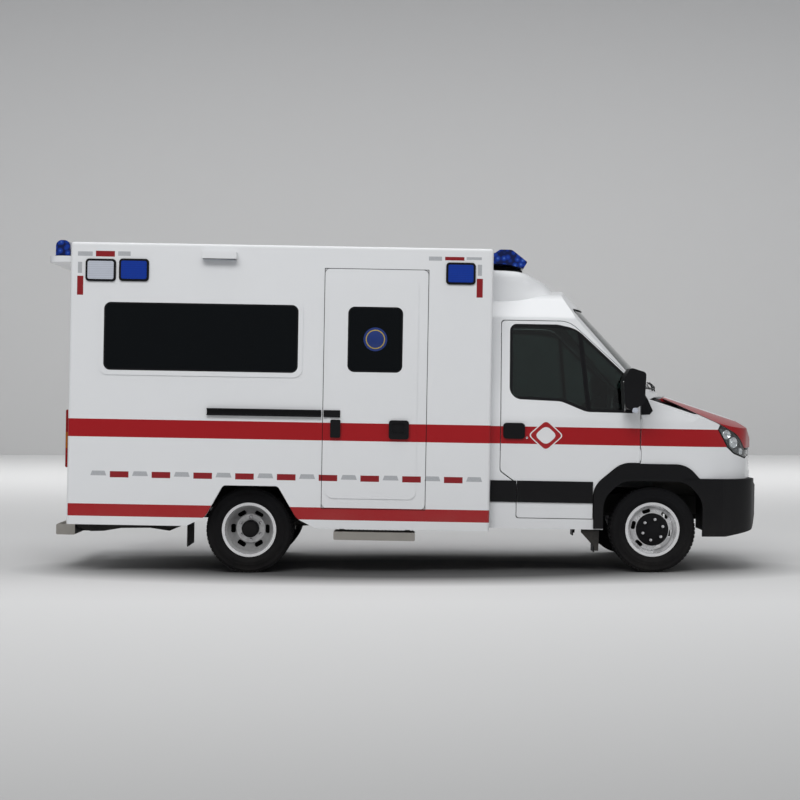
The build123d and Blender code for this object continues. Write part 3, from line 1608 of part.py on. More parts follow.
rear_step_x = (-4930.0, -4772.0)
rear_step_z = (206.0, 294.0)
rear_step_half = 690.0
step_bracket_y = (372.0, 384.0)
side_step_x = (-2605.0, -1944.0)
side_step_set_in = 15.0
side_step_depth = 235.0
side_step_outer_y = side_step_set_in - box_half_width
side_step_y = (side_step_outer_y, side_step_outer_y + side_step_depth)
side_step_z = (233.0, 300.0)
side_bracket_width = 40.0
step_radius = 12.0
step_wall = 6.0
rear_step = from_side(rounded(rear_step_x, rear_step_z, step_radius), (-rear_step_half, rear_step_half))
rear_step = rear_step - block(
    (rear_step_x[0] + step_wall, rear_step_x[1] - step_wall),
    (-rear_step_half + step_wall, rear_step_half - step_wall),
    (rear_step_z[0] - overrun, rear_step_z[1] - step_wall),
)
step_arm = from_side(
    [
        (rear_step_x[1] - step_wall, rear_step_z[0] + step_radius, 0),
        (rear_step_x[1] - step_wall, rear_step_z[1], 0),
        (rail_rear_x + sheet, rail_bottom_z, 0),
        (rail_rear_x + member_width * 2, rail_bottom_z, 0),
        (rail_rear_x + member_width, rear_step_z[0] + step_radius, 0),
    ],
    step_bracket_y,
)
side_step = from_side(rounded(side_step_x, side_step_z, step_radius), side_step_y)
side_step = side_step - block(
    (side_step_x[0] + step_wall, side_step_x[1] - step_wall),
    (side_step_y[0] + step_wall, side_step_y[1] - step_wall),
    (side_step_z[0] - overrun, side_step_z[1] - step_wall),
)
for place in (side_step_x[0] + side_bracket_width, side_step_x[1] - side_bracket_width * 2):
    side_step = side_step + block(
        (place, place + side_bracket_width), (side_step_y[1] - step_wall, side_step_y[1]),
        (side_step_z[0], well_z - sheet),
    )
entry_steps = rear_step + pair(step_arm) + side_step

# Road wheels

rim_half = rim_width * half
tyre_seat = bead_radius + seat_gap
tread_half = 74.0
shoulder_half = 91.0
shoulder_rim_radius = 325.0
wall_rim_radius = 262.0
bead_half = 68.0
tyre_rows = [
    (-bead_half, tyre_seat),
    (-bead_half, flange_radius + seat_gap),
    (-tyre_width * half, wall_rim_radius),
    (-shoulder_half, shoulder_rim_radius),
    (-tread_half, tyre_radius),
    (tread_half, tyre_radius),
    (shoulder_half, shoulder_rim_radius),
    (tyre_width * half, wall_rim_radius),
    (bead_half, flange_radius + seat_gap),
    (bead_half, tyre_seat),
]
flange_thickness = 7.0
well_half = 22.0
barrel_rows = [
    (-rim_half, flange_radius),
    (-rim_half + flange_thickness, flange_radius),
    (-rim_half + flange_thickness, bead_radius),
    (-well_half * 2, bead_radius - rim_wall * half),
    (-well_half, drop_radius),
    (well_half, drop_radius),
    (well_half * 2, bead_radius - rim_wall * half),
    (rim_half - flange_thickness, bead_radius),
    (rim_half - flange_thickness, flange_radius),
    (rim_half, flange_radius),
    (rim_half, bead_radius - rim_wall),
    (well_half * 2, bead_radius - rim_wall * (1 + half)),
    (well_half, drop_radius - rim_wall),
    (-well_half, drop_radius - rim_wall),
    (-well_half * 2, bead_radius - rim_wall * (1 + half)),
    (-rim_half, bead_radius - rim_wall),
]
bore = spindle_radius + running_gap
disc_place = -66.0
nut_length = 24.0
nut_radius = 12.0
cap_base = 56.0
cap_top = 88.0
front_disc_rows = [
    (well_half * half, drop_radius - rim_wall * half),
    (cap_base, cap_radius + sheet),
    (cap_base, hub_radius - sheet),
    (cap_base - sheet, hub_radius - sheet),
    (cap_base - sheet, cap_radius),
    (-well_half * half, drop_radius - rim_wall * half),
]
front_hub_rows = [
    (disc_place, bore),
    (disc_place, disc_radius),
    (disc_place + disc_thickness, disc_radius),
    (disc_place + disc_thickness, hub_radius),
    (cap_base, hub_radius),
    (cap_base, 0),
    (spindle_end_y - front_half_track + seat_gap, 0),
    (spindle_end_y - front_half_track + seat_gap, bore),
]
cap_rows = [
    (cap_base, 0),
    (cap_base, cap_radius),
    (cap_base + sheet, cap_radius),
    (cap_top, cap_radius * half),
    (cap_top + sheet, cap_radius * half * half),
    (cap_top + sheet, 0),
]


def around(shape, count, y, x=0, z=0):
    """Copies of a shape, evenly round a crosswise line."""
    copies = [Rot(0, 360 * number / count, 0) * shape for number in range(count)]
    total = copies[0]
    for copy in copies[1:]:
        total = total + copy
    return Pos(x, y, z) * total


front_rim = spin(barrel_rows, 0) + spin(front_disc_rows, 0) + spin(front_hub_rows, 0) + spin(cap_rows, 0)
slot_half_width = 15.0
slot_half_length = 34.0
slot_circle = 154.0
slot_rounding = 14.0
slot_turn = 12.0
nut_turn = 30.0
slot_rows = rounded(
    (slot_circle - slot_half_width, slot_circle + slot_half_width),
    (-slot_half_length, slot_half_length), slot_rounding,
)
slot = from_side(slot_rows, (0, cap_base + overrun))
front_rim = front_rim - Rot(0, slot_turn, 0) * around(slot, opening_count, 0)
nut = Pos(stud_circle_radius, cap_top - sheet, 0) * Rot(90, 0, 0) * Cylinder(nut_radius, nut_length * 2)
front_rim = front_rim + Rot(0, slot_turn + nut_turn, 0) * around(nut, stud_count, 0)
front_place = Pos(0, front_half_track, tyre_radius)
front_rim = front_place * front_rim
front_tyre = front_place * spin(tyre_rows, 0)

twin_half = twin_spacing * half
rear_bore = rear_spindle_radius + running_gap
rear_hub_radius = 70.0
rear_hub_end = 90.0
dish_flat_radius = 118.0
dish_thickness = 12.0
dish_rows = [
    (0, hub_radius),
    (0, dish_flat_radius),
    (twin_half - well_half * 2, drop_radius - rim_wall * half),
    (twin_half - well_half, drop_radius - rim_wall * half),
    (dish_thickness, dish_flat_radius),
    (dish_thickness, hub_radius),
]
rear_hub_rows = [
    (drum_face_y - rear_half_track, rear_bore),
    (drum_face_y - rear_half_track, drum_radius),
    (-twin_half + well_half, drum_radius),
    (-twin_half + well_half, rear_hub_radius),
    (rear_hub_end, rear_hub_radius),
    (rear_hub_end + sheet, rear_hub_radius - sheet),
    (rear_hub_end + sheet, 0),
    (spindle_length_y - rear_half_track + seat_gap, 0),
    (spindle_length_y - rear_half_track + seat_gap, rear_bore),
]
dish = spin(dish_rows, 0)
hand_hole_rows = rounded(
    (hand_hole_circle - hand_hole_half_width, hand_hole_circle + hand_hole_half_width),
    (-hand_hole_half_length, hand_hole_half_length), slot_rounding,
)
hand_hole = from_side(hand_hole_rows, (-overrun, twin_half))
dish = dish - around(hand_hole, opening_count, 0)
outer_rim = Pos(0, twin_half, 0) * spin(barrel_rows, 0) + dish
rear_rims = outer_rim + flip(outer_rim) + spin(rear_hub_rows, 0)
rear_nut = Pos(stud_circle_radius + sheet, sheet * 2, 0) * Rot(90, 0, 0) * Cylinder(nut_radius, nut_length)
rear_rims = rear_rims + Rot(0, nut_turn, 0) * around(rear_nut, stud_count, 0)
rear_place = Pos(rear_axle_x, rear_half_track, rear_axle_z)
rear_rims = rear_place * rear_rims
rear_tyres = Pos(0, twin_half, 0) * spin(tyre_rows, 0) + Pos(0, -twin_half, 0) * spin(tyre_rows, 0)
rear_tyres = rear_place * rear_tyres

disc_y = front_half_track + disc_place
caliper = block(
    (disc_radius * half, disc_radius + sheet * 3),
    (disc_y - sheet * 2, disc_y + disc_thickness + sheet * 2),
    (tyre_radius - overrun, tyre_radius + overrun),
)
disc_room = Rot(90, 0, 0) * Cylinder(disc_radius + sheet * half, disc_thickness + sheet * half)
caliper = caliper - Pos(0, disc_y + disc_thickness * half, tyre_radius) * disc_room
caliper_arm_z = (tyre_radius - overrun * half, tyre_radius + overrun * half)
caliper_arm = block(
    (0, disc_radius), (kingpin_y - post_half * half, kingpin_y + post_half * half), caliper_arm_z
)
caliper_arm = caliper_arm + block(
    (disc_radius * half, disc_radius), (kingpin_y - post_half * half, disc_y - sheet), caliper_arm_z
)
caliper_arm = caliper_arm & block((0, disc_radius), (0, disc_y - sheet), whole_z)
knuckle = knuckle + caliper_arm + caliper

# Write every node

nodes = {
    "chassis_frame": chassis_frame,
    "suspension": suspension,
    "powertrain": powertrain,
    "rear_axle": rear_axle,
    "fuel_tank": fuel_tank,
    "cab_floor": cab_floor,
    "arch_liners": arch_liners,
    "cab_frame": cab_frame + pair(frame_pins[0] + frame_pins[1]),
    "cab_roof": cab_roof,
    "cab_rear_wall": cab_rear_wall,
    "front_fenders": pair(left_fender),
    "front_panel": front_panel,
    "grille": grille,
    "front_bumper": front_bumper,
    "arch_flares": arch_flares,
    "clear_lamps": clear_lamps,
    "headlamps": headlamps,
    "windscreen": windscreen,
    "cowl": cowl,
    "dashboard": dashboard,
    "cab_seats": cab_seats,
    "roof_fairing": roof_fairing,
    "box_floor": box_floor,
    "box_wall_left": left_wall,
    "box_wall_right": right_wall,
    "box_roof": box_roof,
    "box_front_wall": box_front_wall,
    "box_rear_frame": box_rear_frame,
    "box_windows": box_windows,
    "side_door": side_door,
    "side_door_fittings": side_door_fittings,
    "blue_lamps": blue_lamps,
    "lamp_bezels": lamp_bezels,
    "tail_lamps": tail_lamps,
    "entry_steps": entry_steps,
    "steering_wheel": steering_wheel,
    "steering_rack": steering_rack,
    "bonnet": bonnet,
}
sided = {
    "knuckle": knuckle,
    "front_rim": front_rim,
    "front_tyre": front_tyre,
    "rear_rims": rear_rims,
    "rear_tyres": rear_tyres,
    "cab_door": cab_door,
    "cab_door_glass": door_glass,
    "cab_door_fittings": door_fittings,
    "rear_door": rear_door,
    "rear_door_glass": rear_door_glass,
}
for name, shape in sided.items():
    nodes[name + "_left"] = shape
    nodes[name + "_right"] = flip(shape)
for name, shape in nodes.items():
    save(name, shape)
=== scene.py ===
import json
import math

import bmesh
import bpy
from bpy.props import FloatProperty, FloatVectorProperty, IntProperty, PointerProperty
from bpy.types import Operator, Panel, PropertyGroup
from mathutils import Matrix, Vector
from mathutils.bvhtree import BVHTree


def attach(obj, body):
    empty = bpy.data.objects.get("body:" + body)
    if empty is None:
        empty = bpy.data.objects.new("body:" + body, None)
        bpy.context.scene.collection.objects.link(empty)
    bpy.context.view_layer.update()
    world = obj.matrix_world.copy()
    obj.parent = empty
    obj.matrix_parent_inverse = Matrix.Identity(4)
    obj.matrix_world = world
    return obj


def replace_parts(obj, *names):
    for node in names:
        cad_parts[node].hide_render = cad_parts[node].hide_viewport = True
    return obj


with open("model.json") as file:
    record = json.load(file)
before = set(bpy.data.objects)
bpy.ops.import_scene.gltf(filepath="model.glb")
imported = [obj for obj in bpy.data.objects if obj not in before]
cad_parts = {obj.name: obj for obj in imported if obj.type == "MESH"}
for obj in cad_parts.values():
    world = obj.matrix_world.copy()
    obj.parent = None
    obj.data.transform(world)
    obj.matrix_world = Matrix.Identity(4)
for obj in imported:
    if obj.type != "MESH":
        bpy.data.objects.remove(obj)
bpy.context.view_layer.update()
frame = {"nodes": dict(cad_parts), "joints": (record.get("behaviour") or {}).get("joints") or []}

bl_info = {
    "name": "Box ambulance dressing",
    "version": (1, 0, 0),
    "blender": (4, 5, 0),
    "location": "View3D > Sidebar > Ambulance",
    "description": "Finishes, glass, lamps, tyres, seats and trim for a box ambulance",
    "category": "Object",
}

NODES = frame["nodes"]
JOINTS = {joint["name"]: joint for joint in frame["joints"]}
AXLE = Vector(JOINTS["steer_left"]["pos_m"])
RAKE = math.atan2(JOINTS["steer_left"]["axis"][0], JOINTS["steer_left"]["axis"][2])
MM = 0.001
# From the level body, in millimetres from the front axle and the ground, to the frame in metres
LEVEL = (
    Matrix.Translation((AXLE.x, 0, AXLE.z)) @ Matrix.Rotation(RAKE, 4, "Y")
    @ Matrix.Translation((0, 0, -AXLE.z)) @ Matrix.Scale(MM, 4)
)
SIDES = ((1, "left"), (-1, "right"))


# Meshes


class Bench:
    """One piece in the making. Its parts are in the level body's millimetres."""

    def __init__(self):
        self.mesh = bmesh.new()
        self.finishes = []

    def index(self, finish):
        """The place of a finish in the piece's slots."""
        if finish not in self.finishes:
            self.finishes.append(finish)
        return self.finishes.index(finish)

    def add(self, points, faces, finish):
        """Adds faces over a list of points."""
        slot = self.index(finish)
        made = [self.mesh.verts.new(point) for point in points]
        for face in faces:
            self.mesh.faces.new([made[number] for number in face]).material_index = slot

    def join(self, mesh, finish, matrix=None):
        """Adds a copy of a mesh, and deletes the mesh."""
        if matrix is not None:
            mesh.transform(matrix)
        first = len(self.mesh.faces)
        self.mesh.from_mesh(mesh)
        self.mesh.faces.ensure_lookup_table()
        slot = self.index(finish)
        for face in self.mesh.faces[first:]:
            face.material_index = slot
        bpy.data.meshes.remove(mesh)

    def plain_mesh(self, name):
        """The parts as a mesh with no finish, for another piece to take."""
        bmesh.ops.recalc_face_normals(self.mesh, faces=self.mesh.faces)
        data = bpy.data.meshes.new(name)
        self.mesh.to_mesh(data)
        self.mesh.free()
        return data

    def done(self, name, body, slot, matrix=LEVEL, sharp=34):
        """Writes the piece, gives it smooth faces with sharp edges, and sets it on its body."""
        if not self.mesh.faces:
            raise RuntimeError("the piece " + name + " has no faces")
        bmesh.ops.recalc_face_normals(self.mesh, faces=self.mesh.faces)
        for face in self.mesh.faces:
            face.smooth = True
        for edge in self.mesh.edges:
            edge.smooth = len(edge.link_faces) == 2 and edge.calc_face_angle(0) < math.radians(sharp)
        data = bpy.data.meshes.new(name)
        self.mesh.to_mesh(data)
        self.mesh.free()
        data.transform(matrix)
        for finish in self.finishes:
            data.materials.append(finish)
        piece = bpy.data.objects.new(name, data)
        bpy.context.scene.collection.objects.link(piece)
        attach(piece, body)
        return piece


def rounded_outline(corners, steps=5):
    """Points of a closed outline from corners with a radius each."""
    points = []
    for number, (x, y, radius) in enumerate(corners):
        here = Vector((x, y))
        before = Vector(corners[number - 1][:2]) - here
        after = Vector(corners[(number + 1) % len(corners)][:2]) - here
        if radius <= 0:
            points.append(here)
            continue
        turn = before.angle(after)
        reach = min(radius / math.tan(turn / 2), before.length * 0.48, after.length * 0.48)
        start, end = here + before.normalized() * reach, here + after.normalized() * reach
        for step in range(steps + 1):
            t = step / steps
            points.append((1 - t) ** 2 * start + 2 * t * (1 - t) * here + t * t * end)
    return points


def box_outline(low, high, radius):
    """Corners of a rectangle with one radius."""
    return [(low[0], low[1], radius), (high[0], low[1], radius),
            (high[0], high[1], radius), (low[0], high[1], radius)]


def mirrored(side, inner, outer):
    """The low and high place across for a span given on the left side."""
    return (inner, outer) if side > 0 else (-outer, -inner)


def slab(bench, corners, span, finish, axes="xz", edge=1.5, steps=5):
    """A plate with an outline, and an eased edge on both of its faces."""
    points = rounded_outline(corners, steps)
    middle = sum(points, Vector((0, 0))) / len(points)
    thickness = abs(span[1] - span[0])
    ease = min(edge, thickness * 0.45)
    rings = []
    for depth, inset in ((span[0], ease), (span[0] + math.copysign(ease, span[1] - span[0]), 0),
                         (span[1] - math.copysign(ease, span[1] - span[0]), 0), (span[1], ease)):
        ring = []
        for point in points:
            run = middle - point
            moved = point + run.normalized() * inset if run.length > inset else point
            places = {axes[0]: moved.x, axes[1]: moved.y}
            places[next(axis for axis in "xyz" if axis not in axes)] = depth
            ring.append((places["x"], places["y"], places["z"]))
        rings.append(ring)
    count = len(points)
    faces = [tuple(range(count)), tuple(reversed(range(3 * count, 4 * count)))]
    for level in range(3):
        for number in range(count):
            after = (number + 1) % count
            faces.append((level * count + number, level * count + after,
                          (level + 1) * count + after, (level + 1) * count + number))
    bench.add([place for ring in rings for place in ring], faces, finish)


def turned(bench, rows, centre, finish, steps=48, axis="y"):
    """A turned shape from rows of place along the axis and radius, closed at both ends."""
    across = {"x": ("y", "z"), "y": ("z", "x"), "z": ("x", "y")}[axis]
    points, faces = [], []
    for along, radius in rows:
        for step in range(steps):
            angle = 2 * math.pi * step / steps
            place = {axis: along, across[0]: radius * math.sin(angle), across[1]: radius * math.cos(angle)}
            points.append(Vector((place["x"], place["y"], place["z"])) + Vector(centre))
    for level in range(len(rows) - 1):
        for step in range(steps):
            after = (step + 1) % steps
            faces.append((level * steps + step, level * steps + after,
                          (level + 1) * steps + after, (level + 1) * steps + step))
    closed = rows[0] == rows[-1]
    if not closed:
        faces.append(tuple(range(steps)))
        faces.append(tuple(reversed(range((len(rows) - 1) * steps, len(rows) * steps))))
    bench.add(points, faces, finish)


def bar(bench, route, radius, finish, sides=10):
    """A round bar along a route of points."""
    curve = bpy.data.curves.new("bar", "CURVE")
    curve.dimensions = "3D"
    curve.bevel_depth = radius
    curve.bevel_resolution = sides // 4
    curve.use_fill_caps = True
    spline = curve.splines.new("POLY")
    spline.points.add(len(route) - 1)
    for point, place in zip(spline.points, route):
        point.co = (*place, 1)
    holder = bpy.data.objects.new("bar", curve)
    bench.join(bpy.data.meshes.new_from_object(holder), finish)
    bpy.data.objects.remove(holder)
    bpy.data.curves.remove(curve)


def copied_skin(nodes, keep):
    """The faces of CAD nodes that pass a test, merged, in the level body's millimetres."""
    skin = bmesh.new()
    for node in nodes:
        skin.from_mesh(NODES[node].data)
    bmesh.ops.transform(skin, matrix=LEVEL.inverted(), verts=skin.verts)
    bmesh.ops.remove_doubles(skin, verts=skin.verts, dist=0.02)
    skin.normal_update()
    lost = [face for face in skin.faces if not keep(face)]
    bmesh.ops.delete(skin, geom=lost, context="FACES")
    return skin


def thickened(bench, skin, lift, thickness, finish):
    """Adds an open skin to a piece, lifted off what it lies on and given a thickness."""
    skin.normal_update()
    outward = {vert: vert.normal.copy() for vert in skin.verts}
    faces = list(skin.faces)
    top = {vert: skin.verts.new(vert.co + outward[vert] * (lift + thickness)) for vert in outward}
    for vert in outward:
        vert.co += outward[vert] * lift
    rims = [edge for edge in skin.edges if len(edge.link_faces) == 1]
    for face in faces:
        skin.faces.new([top[vert] for vert in face.verts])
    for edge in rims:
        loop = edge.link_loops[0]
        a, b = loop.vert, loop.link_loop_next.vert
        skin.faces.new([a, b, top[b], top[a]])
    data = bpy.data.meshes.new("skin")
    skin.to_mesh(data)
    skin.free()
    bench.join(data, finish)


def keep_border(skin, width):
    """Keeps only a border of an open skin, as wide as it says."""
    made = bmesh.ops.inset_region(
        skin, faces=list(skin.faces), thickness=width, use_boundary=True, use_even_offset=True)
    ring = set(made["faces"])
    if not ring:
        raise RuntimeError("a border has no faces")
    bmesh.ops.delete(skin, geom=[face for face in skin.faces if face not in ring], context="FACES")


def trim_ring(bench, node_name, keep, width, lift, thickness, finish):
    """A border as wide as it says, round the edge of a pane."""
    skin = copied_skin([node_name], keep)
    keep_border(skin, width)
    thickened(bench, skin, lift, thickness, finish)


# Node trees


def node(tree, kind, inputs=None, **settings):
    """Adds a node. Its inputs are values, or the sockets that feed them."""
    made = tree.nodes.new(kind)
    for key, value in settings.items():
        setattr(made, key, value)
    for key, value in (inputs or {}).items():
        if isinstance(value, bpy.types.NodeSocket):
            tree.links.new(value, made.inputs[key])
        else:
            made.inputs[key].default_value = value
    return made


def calc(tree, operation, *values):
    """The result of a Math node."""
    return node(tree, "ShaderNodeMath", dict(enumerate(values)), operation=operation).outputs[0]


def vector_calc(tree, operation, *values):
    """The result of a Vector Math node."""
    made = node(tree, "ShaderNodeVectorMath", dict(enumerate(values)), operation=operation)
    return made.outputs["Value" if operation in ("LENGTH", "DOT_PRODUCT") else "Vector"]


def blended(tree, share, first, second):
    """Two colours mixed by a share."""
    made = node(tree, "ShaderNodeMix", {0: share, 6: first, 7: second}, data_type="RGBA")
    return made.outputs[2]


def ranged(tree, value, low, high, to_low=0.0, to_high=1.0):
    """A value carried from one range to another, and held within it."""
    return node(tree, "ShaderNodeMapRange", {
        "Value": value, "From Min": low, "From Max": high, "To Min": to_low, "To Max": to_high,
    }).outputs["Result"]


def noise(tree, place, scale, detail):
    """A noise value at a place."""
    return node(tree, "ShaderNodeTexNoise", {
        "Vector": place, "Scale": scale, "Detail": detail, "Roughness": 0.55}).outputs["Fac"]


def object_place(tree):
    """The object's own coordinates."""
    return node(tree, "ShaderNodeTexCoord").outputs["Object"]


def parts_of(tree, vector):
    """The sockets X, Y and Z of a vector."""
    return node(tree, "ShaderNodeSeparateXYZ", {0: vector}).outputs


def thrice(tree, value):
    """A vector that holds one value three times."""
    return node(tree, "ShaderNodeCombineXYZ", {0: value, 1: value, 2: value}).outputs[0]


def toned(tree, colour, tone):
    """A colour made lighter or darker by a value."""
    return vector_calc(tree, "MULTIPLY", colour, thrice(tree, tone))


def new_group(name, inputs, outputs):
    """An empty shader group with named sockets."""
    tree = bpy.data.node_groups.new(name, "ShaderNodeTree")
    for label, kind, default in inputs:
        socket = tree.interface.new_socket(label, in_out="INPUT", socket_type=kind)
        socket.default_value = default
    for label, kind in outputs:
        tree.interface.new_socket(label, in_out="OUTPUT", socket_type=kind)
    return tree, tree.nodes.new("NodeGroupInput").outputs, tree.nodes.new("NodeGroupOutput").inputs


VALUE, COLOUR, VECTOR = "NodeSocketFloat", "NodeSocketColor", "NodeSocketVector"


def body_place_group():
    """The point on the level body in metres, the side taken off, and how far the face looks out, up and back."""
    tree, _, out = new_group("level_body_place", [], [
        ("Place", VECTOR), ("Outward", VALUE), ("Up", VALUE), ("Back", VALUE)])
    coordinates = node(tree, "ShaderNodeTexCoord").outputs
    shift = vector_calc(tree, "ADD", coordinates["Object"], (-AXLE.x, 0, -AXLE.z))
    turn = node(tree, "ShaderNodeVectorRotate", {"Vector": shift, "Angle": -RAKE}, rotation_type="Y_AXIS")
    level = parts_of(tree, vector_calc(tree, "ADD", turn.outputs[0], (0, 0, AXLE.z)))
    across = calc(tree, "ABSOLUTE", level["Y"])
    joined = node(tree, "ShaderNodeCombineXYZ", {"X": level["X"], "Y": across, "Z": level["Z"]})
    tree.links.new(joined.outputs[0], out["Place"])
    facing = parts_of(tree, coordinates["Normal"])
    tree.links.new(calc(tree, "MULTIPLY", calc(tree, "SIGN", level["Y"]), facing["Y"]), out["Outward"])
    tree.links.new(facing["Z"], out["Up"])
    tree.links.new(calc(tree, "MULTIPLY", facing["X"], -1.0), out["Back"])
    return tree


def film_patch_group():
    """1 within a box of the level body, and 0 outside it."""
    tree, given, out = new_group("film_patch", [
        ("Place", VECTOR, (0, 0, 0)), ("Low", VECTOR, (0, 0, 0)), ("High", VECTOR, (0, 0, 0))], [("Mask", VALUE)])
    above = vector_calc(tree, "SUBTRACT", given["Place"], given["Low"])
    below = vector_calc(tree, "SUBTRACT", given["High"], given["Place"])
    least = parts_of(tree, vector_calc(tree, "MINIMUM", above, below))
    inner = calc(tree, "MINIMUM", calc(tree, "MINIMUM", least[0], least[1]), least[2])
    tree.links.new(calc(tree, "GREATER_THAN", inner, 0.0), out["Mask"])
    return tree


def dash_row_group():
    """A row of like dashes along the body: 1 on a dash, and 0 between them."""
    tree, given, out = new_group("dash_row", [
        ("Place", VECTOR, (0, 0, 0)), ("First", VALUE, 0.0), ("Pitch", VALUE, 0.3), ("Count", VALUE, 9.0),
        ("Half length", VALUE, 0.07), ("Height", VALUE, 0.7), ("Half width", VALUE, 0.02), ("Slant", VALUE, 0.0),
    ], [("Mask", VALUE)])
    place = parts_of(tree, given["Place"])
    start = calc(tree, "SUBTRACT", given["First"], calc(tree, "MULTIPLY", given["Pitch"], 0.5))
    turns = calc(tree, "DIVIDE", calc(tree, "SUBTRACT", place["X"], start), given["Pitch"])
    local = calc(tree, "SUBTRACT", calc(tree, "FRACT", turns), 0.5)
    local = calc(tree, "ABSOLUTE", calc(tree, "MULTIPLY", local, given["Pitch"]))
    up = calc(tree, "SUBTRACT", place["Z"], given["Height"])
    reach = calc(tree, "SUBTRACT", given["Half length"], calc(tree, "MULTIPLY", up, given["Slant"]))
    inside = calc(tree, "LESS_THAN", local, reach)
    level = calc(tree, "LESS_THAN", calc(tree, "ABSOLUTE", up), given["Half width"])
    begun = calc(tree, "GREATER_THAN", turns, 0.0)
    within = calc(tree, "MULTIPLY", begun, calc(tree, "LESS_THAN", turns, given["Count"]))
    tree.links.new(calc(tree, "MULTIPLY", calc(tree, "MULTIPLY", inside, level), within), out["Mask"])
    return tree


def road_film_group():
    """Road dust that thins out upward, and gathers in cloudy spots."""
    tree, given, out = new_group("road_film", [
        ("Colour", COLOUR, (1, 1, 1, 1)), ("Dust", COLOUR, (0.32, 0.29, 0.25, 1)), ("Amount", VALUE, 0.3),
        ("Top", VALUE, 0.9), ("Roughness", VALUE, 0.3),
    ], [("Colour", COLOUR), ("Roughness", VALUE)])
    place = object_place(tree)
    fade = calc(tree, "SUBTRACT", 1.0, ranged(tree, parts_of(tree, place)["Z"], 0.0, given["Top"]))
    amount = calc(tree, "MULTIPLY", calc(tree, "POWER", fade, 1.6), given["Amount"])
    cloud = calc(tree, "ADD", ranged(tree, noise(tree, place, 5.0, 6.0), 0.3, 0.75), 0.35)
    fine = ranged(tree, noise(tree, place, 60.0, 4.0), 0.35, 0.8, 0.6, 1.0)
    share = calc(tree, "MINIMUM", calc(tree, "MULTIPLY", amount, calc(tree, "MULTIPLY", cloud, fine)), 1.0)
    tree.links.new(blended(tree, share, given["Colour"], given["Dust"]), out["Colour"])
    rougher = calc(tree, "MULTIPLY", share, 0.4)
    tree.links.new(calc(tree, "ADD", given["Roughness"], rougher), out["Roughness"])
    return tree


def grain_group():
    """A fine uneven surface: its height, and the change of tone that goes with it."""
    tree, given, out = new_group("surface_grain", [
        ("Scale", VALUE, 300.0), ("Broad", VALUE, 3.0), ("Change", VALUE, 0.08),
    ], [("Height", VALUE), ("Tone", VALUE)])
    place = object_place(tree)
    tree.links.new(noise(tree, place, given["Scale"], 3.0), out["Height"])
    broad = calc(tree, "SUBTRACT", noise(tree, place, given["Broad"], 4.0), 0.5)
    tree.links.new(calc(tree, "ADD", 1.0, calc(tree, "MULTIPLY", broad, given["Change"])), out["Tone"])
    return tree


GROUPS = {}
FINISHES = {}


def use(tree, name, **inputs):
    """Places a shader group, and returns its outputs."""
    given = {label.replace("_", " "): value for label, value in inputs.items()}
    return node(tree, "ShaderNodeGroup", given, node_tree=GROUPS[name]).outputs


def finish(name, colour, roughness=0.5, grain=(300.0, 3.0, 0.08), bump=0.1, depth=0.0004, dust=None, **values):
    """Makes a material of the colour, and returns its tree and shader.

    The grain is its fine scale, its broad scale and the change of tone. The dust is its amount and the height
    in metres where it ends.
    """
    material = bpy.data.materials.new(name)
    material.use_nodes = True
    tree = material.node_tree
    shader = tree.nodes["Principled BSDF"]
    for label, value in values.items():
        shader.inputs[label.replace("_", " ")].default_value = value
    textured = use(tree, "grain", Scale=grain[0], Broad=grain[1], Change=grain[2])
    shown = toned(tree, colour, textured["Tone"])
    rough = calc(tree, "MULTIPLY", textured["Tone"], roughness)
    if dust:
        worn = use(tree, "road_film", Colour=shown, Amount=dust[0], Top=dust[1], Roughness=rough)
        shown, rough = worn["Colour"], worn["Roughness"]
    tree.links.new(shown, shader.inputs["Base Color"])
    tree.links.new(rough, shader.inputs["Roughness"])
    relief = node(tree, "ShaderNodeBump", {"Strength": bump, "Distance": depth, "Height": textured["Height"]})
    tree.links.new(relief.outputs[0], shader.inputs["Normal"])
    FINISHES[name] = material
    return tree, shader


def relief_with_painted_shade(tree, shader, height, strength, low, high, dark, light):
    """Paints shade into the base colour by a height, lower parts darker, and gives the surface that relief."""
    painted_shade = ranged(tree, height, low, high, dark, light)
    base = shader.inputs["Base Color"].links[0].from_socket
    # Painted shade: the base colour is darkened where the relief is low
    tree.links.new(toned(tree, base, painted_shade), shader.inputs["Base Color"])
    relief = node(tree, "ShaderNodeBump", {"Strength": strength, "Distance": 0.001, "Height": height})
    tree.links.new(relief.outputs[0], shader.inputs["Normal"])


def recolour(tree, shader, share, colour, roughness=None):
    """Lays a second colour over what feeds the shader, where the share is 1."""
    base = shader.inputs["Base Color"].links[0].from_socket
    tree.links.new(blended(tree, share, base, colour), shader.inputs["Base Color"])
    if roughness is not None:
        rough = shader.inputs["Roughness"].links[0].from_socket
        mixed = node(tree, "ShaderNodeMix", {0: share, 2: rough, 3: roughness}, data_type="FLOAT")
        tree.links.new(mixed.outputs[0], shader.inputs["Roughness"])


# The films on the body, in metres of the level body: low and high corner of each, the side taken off

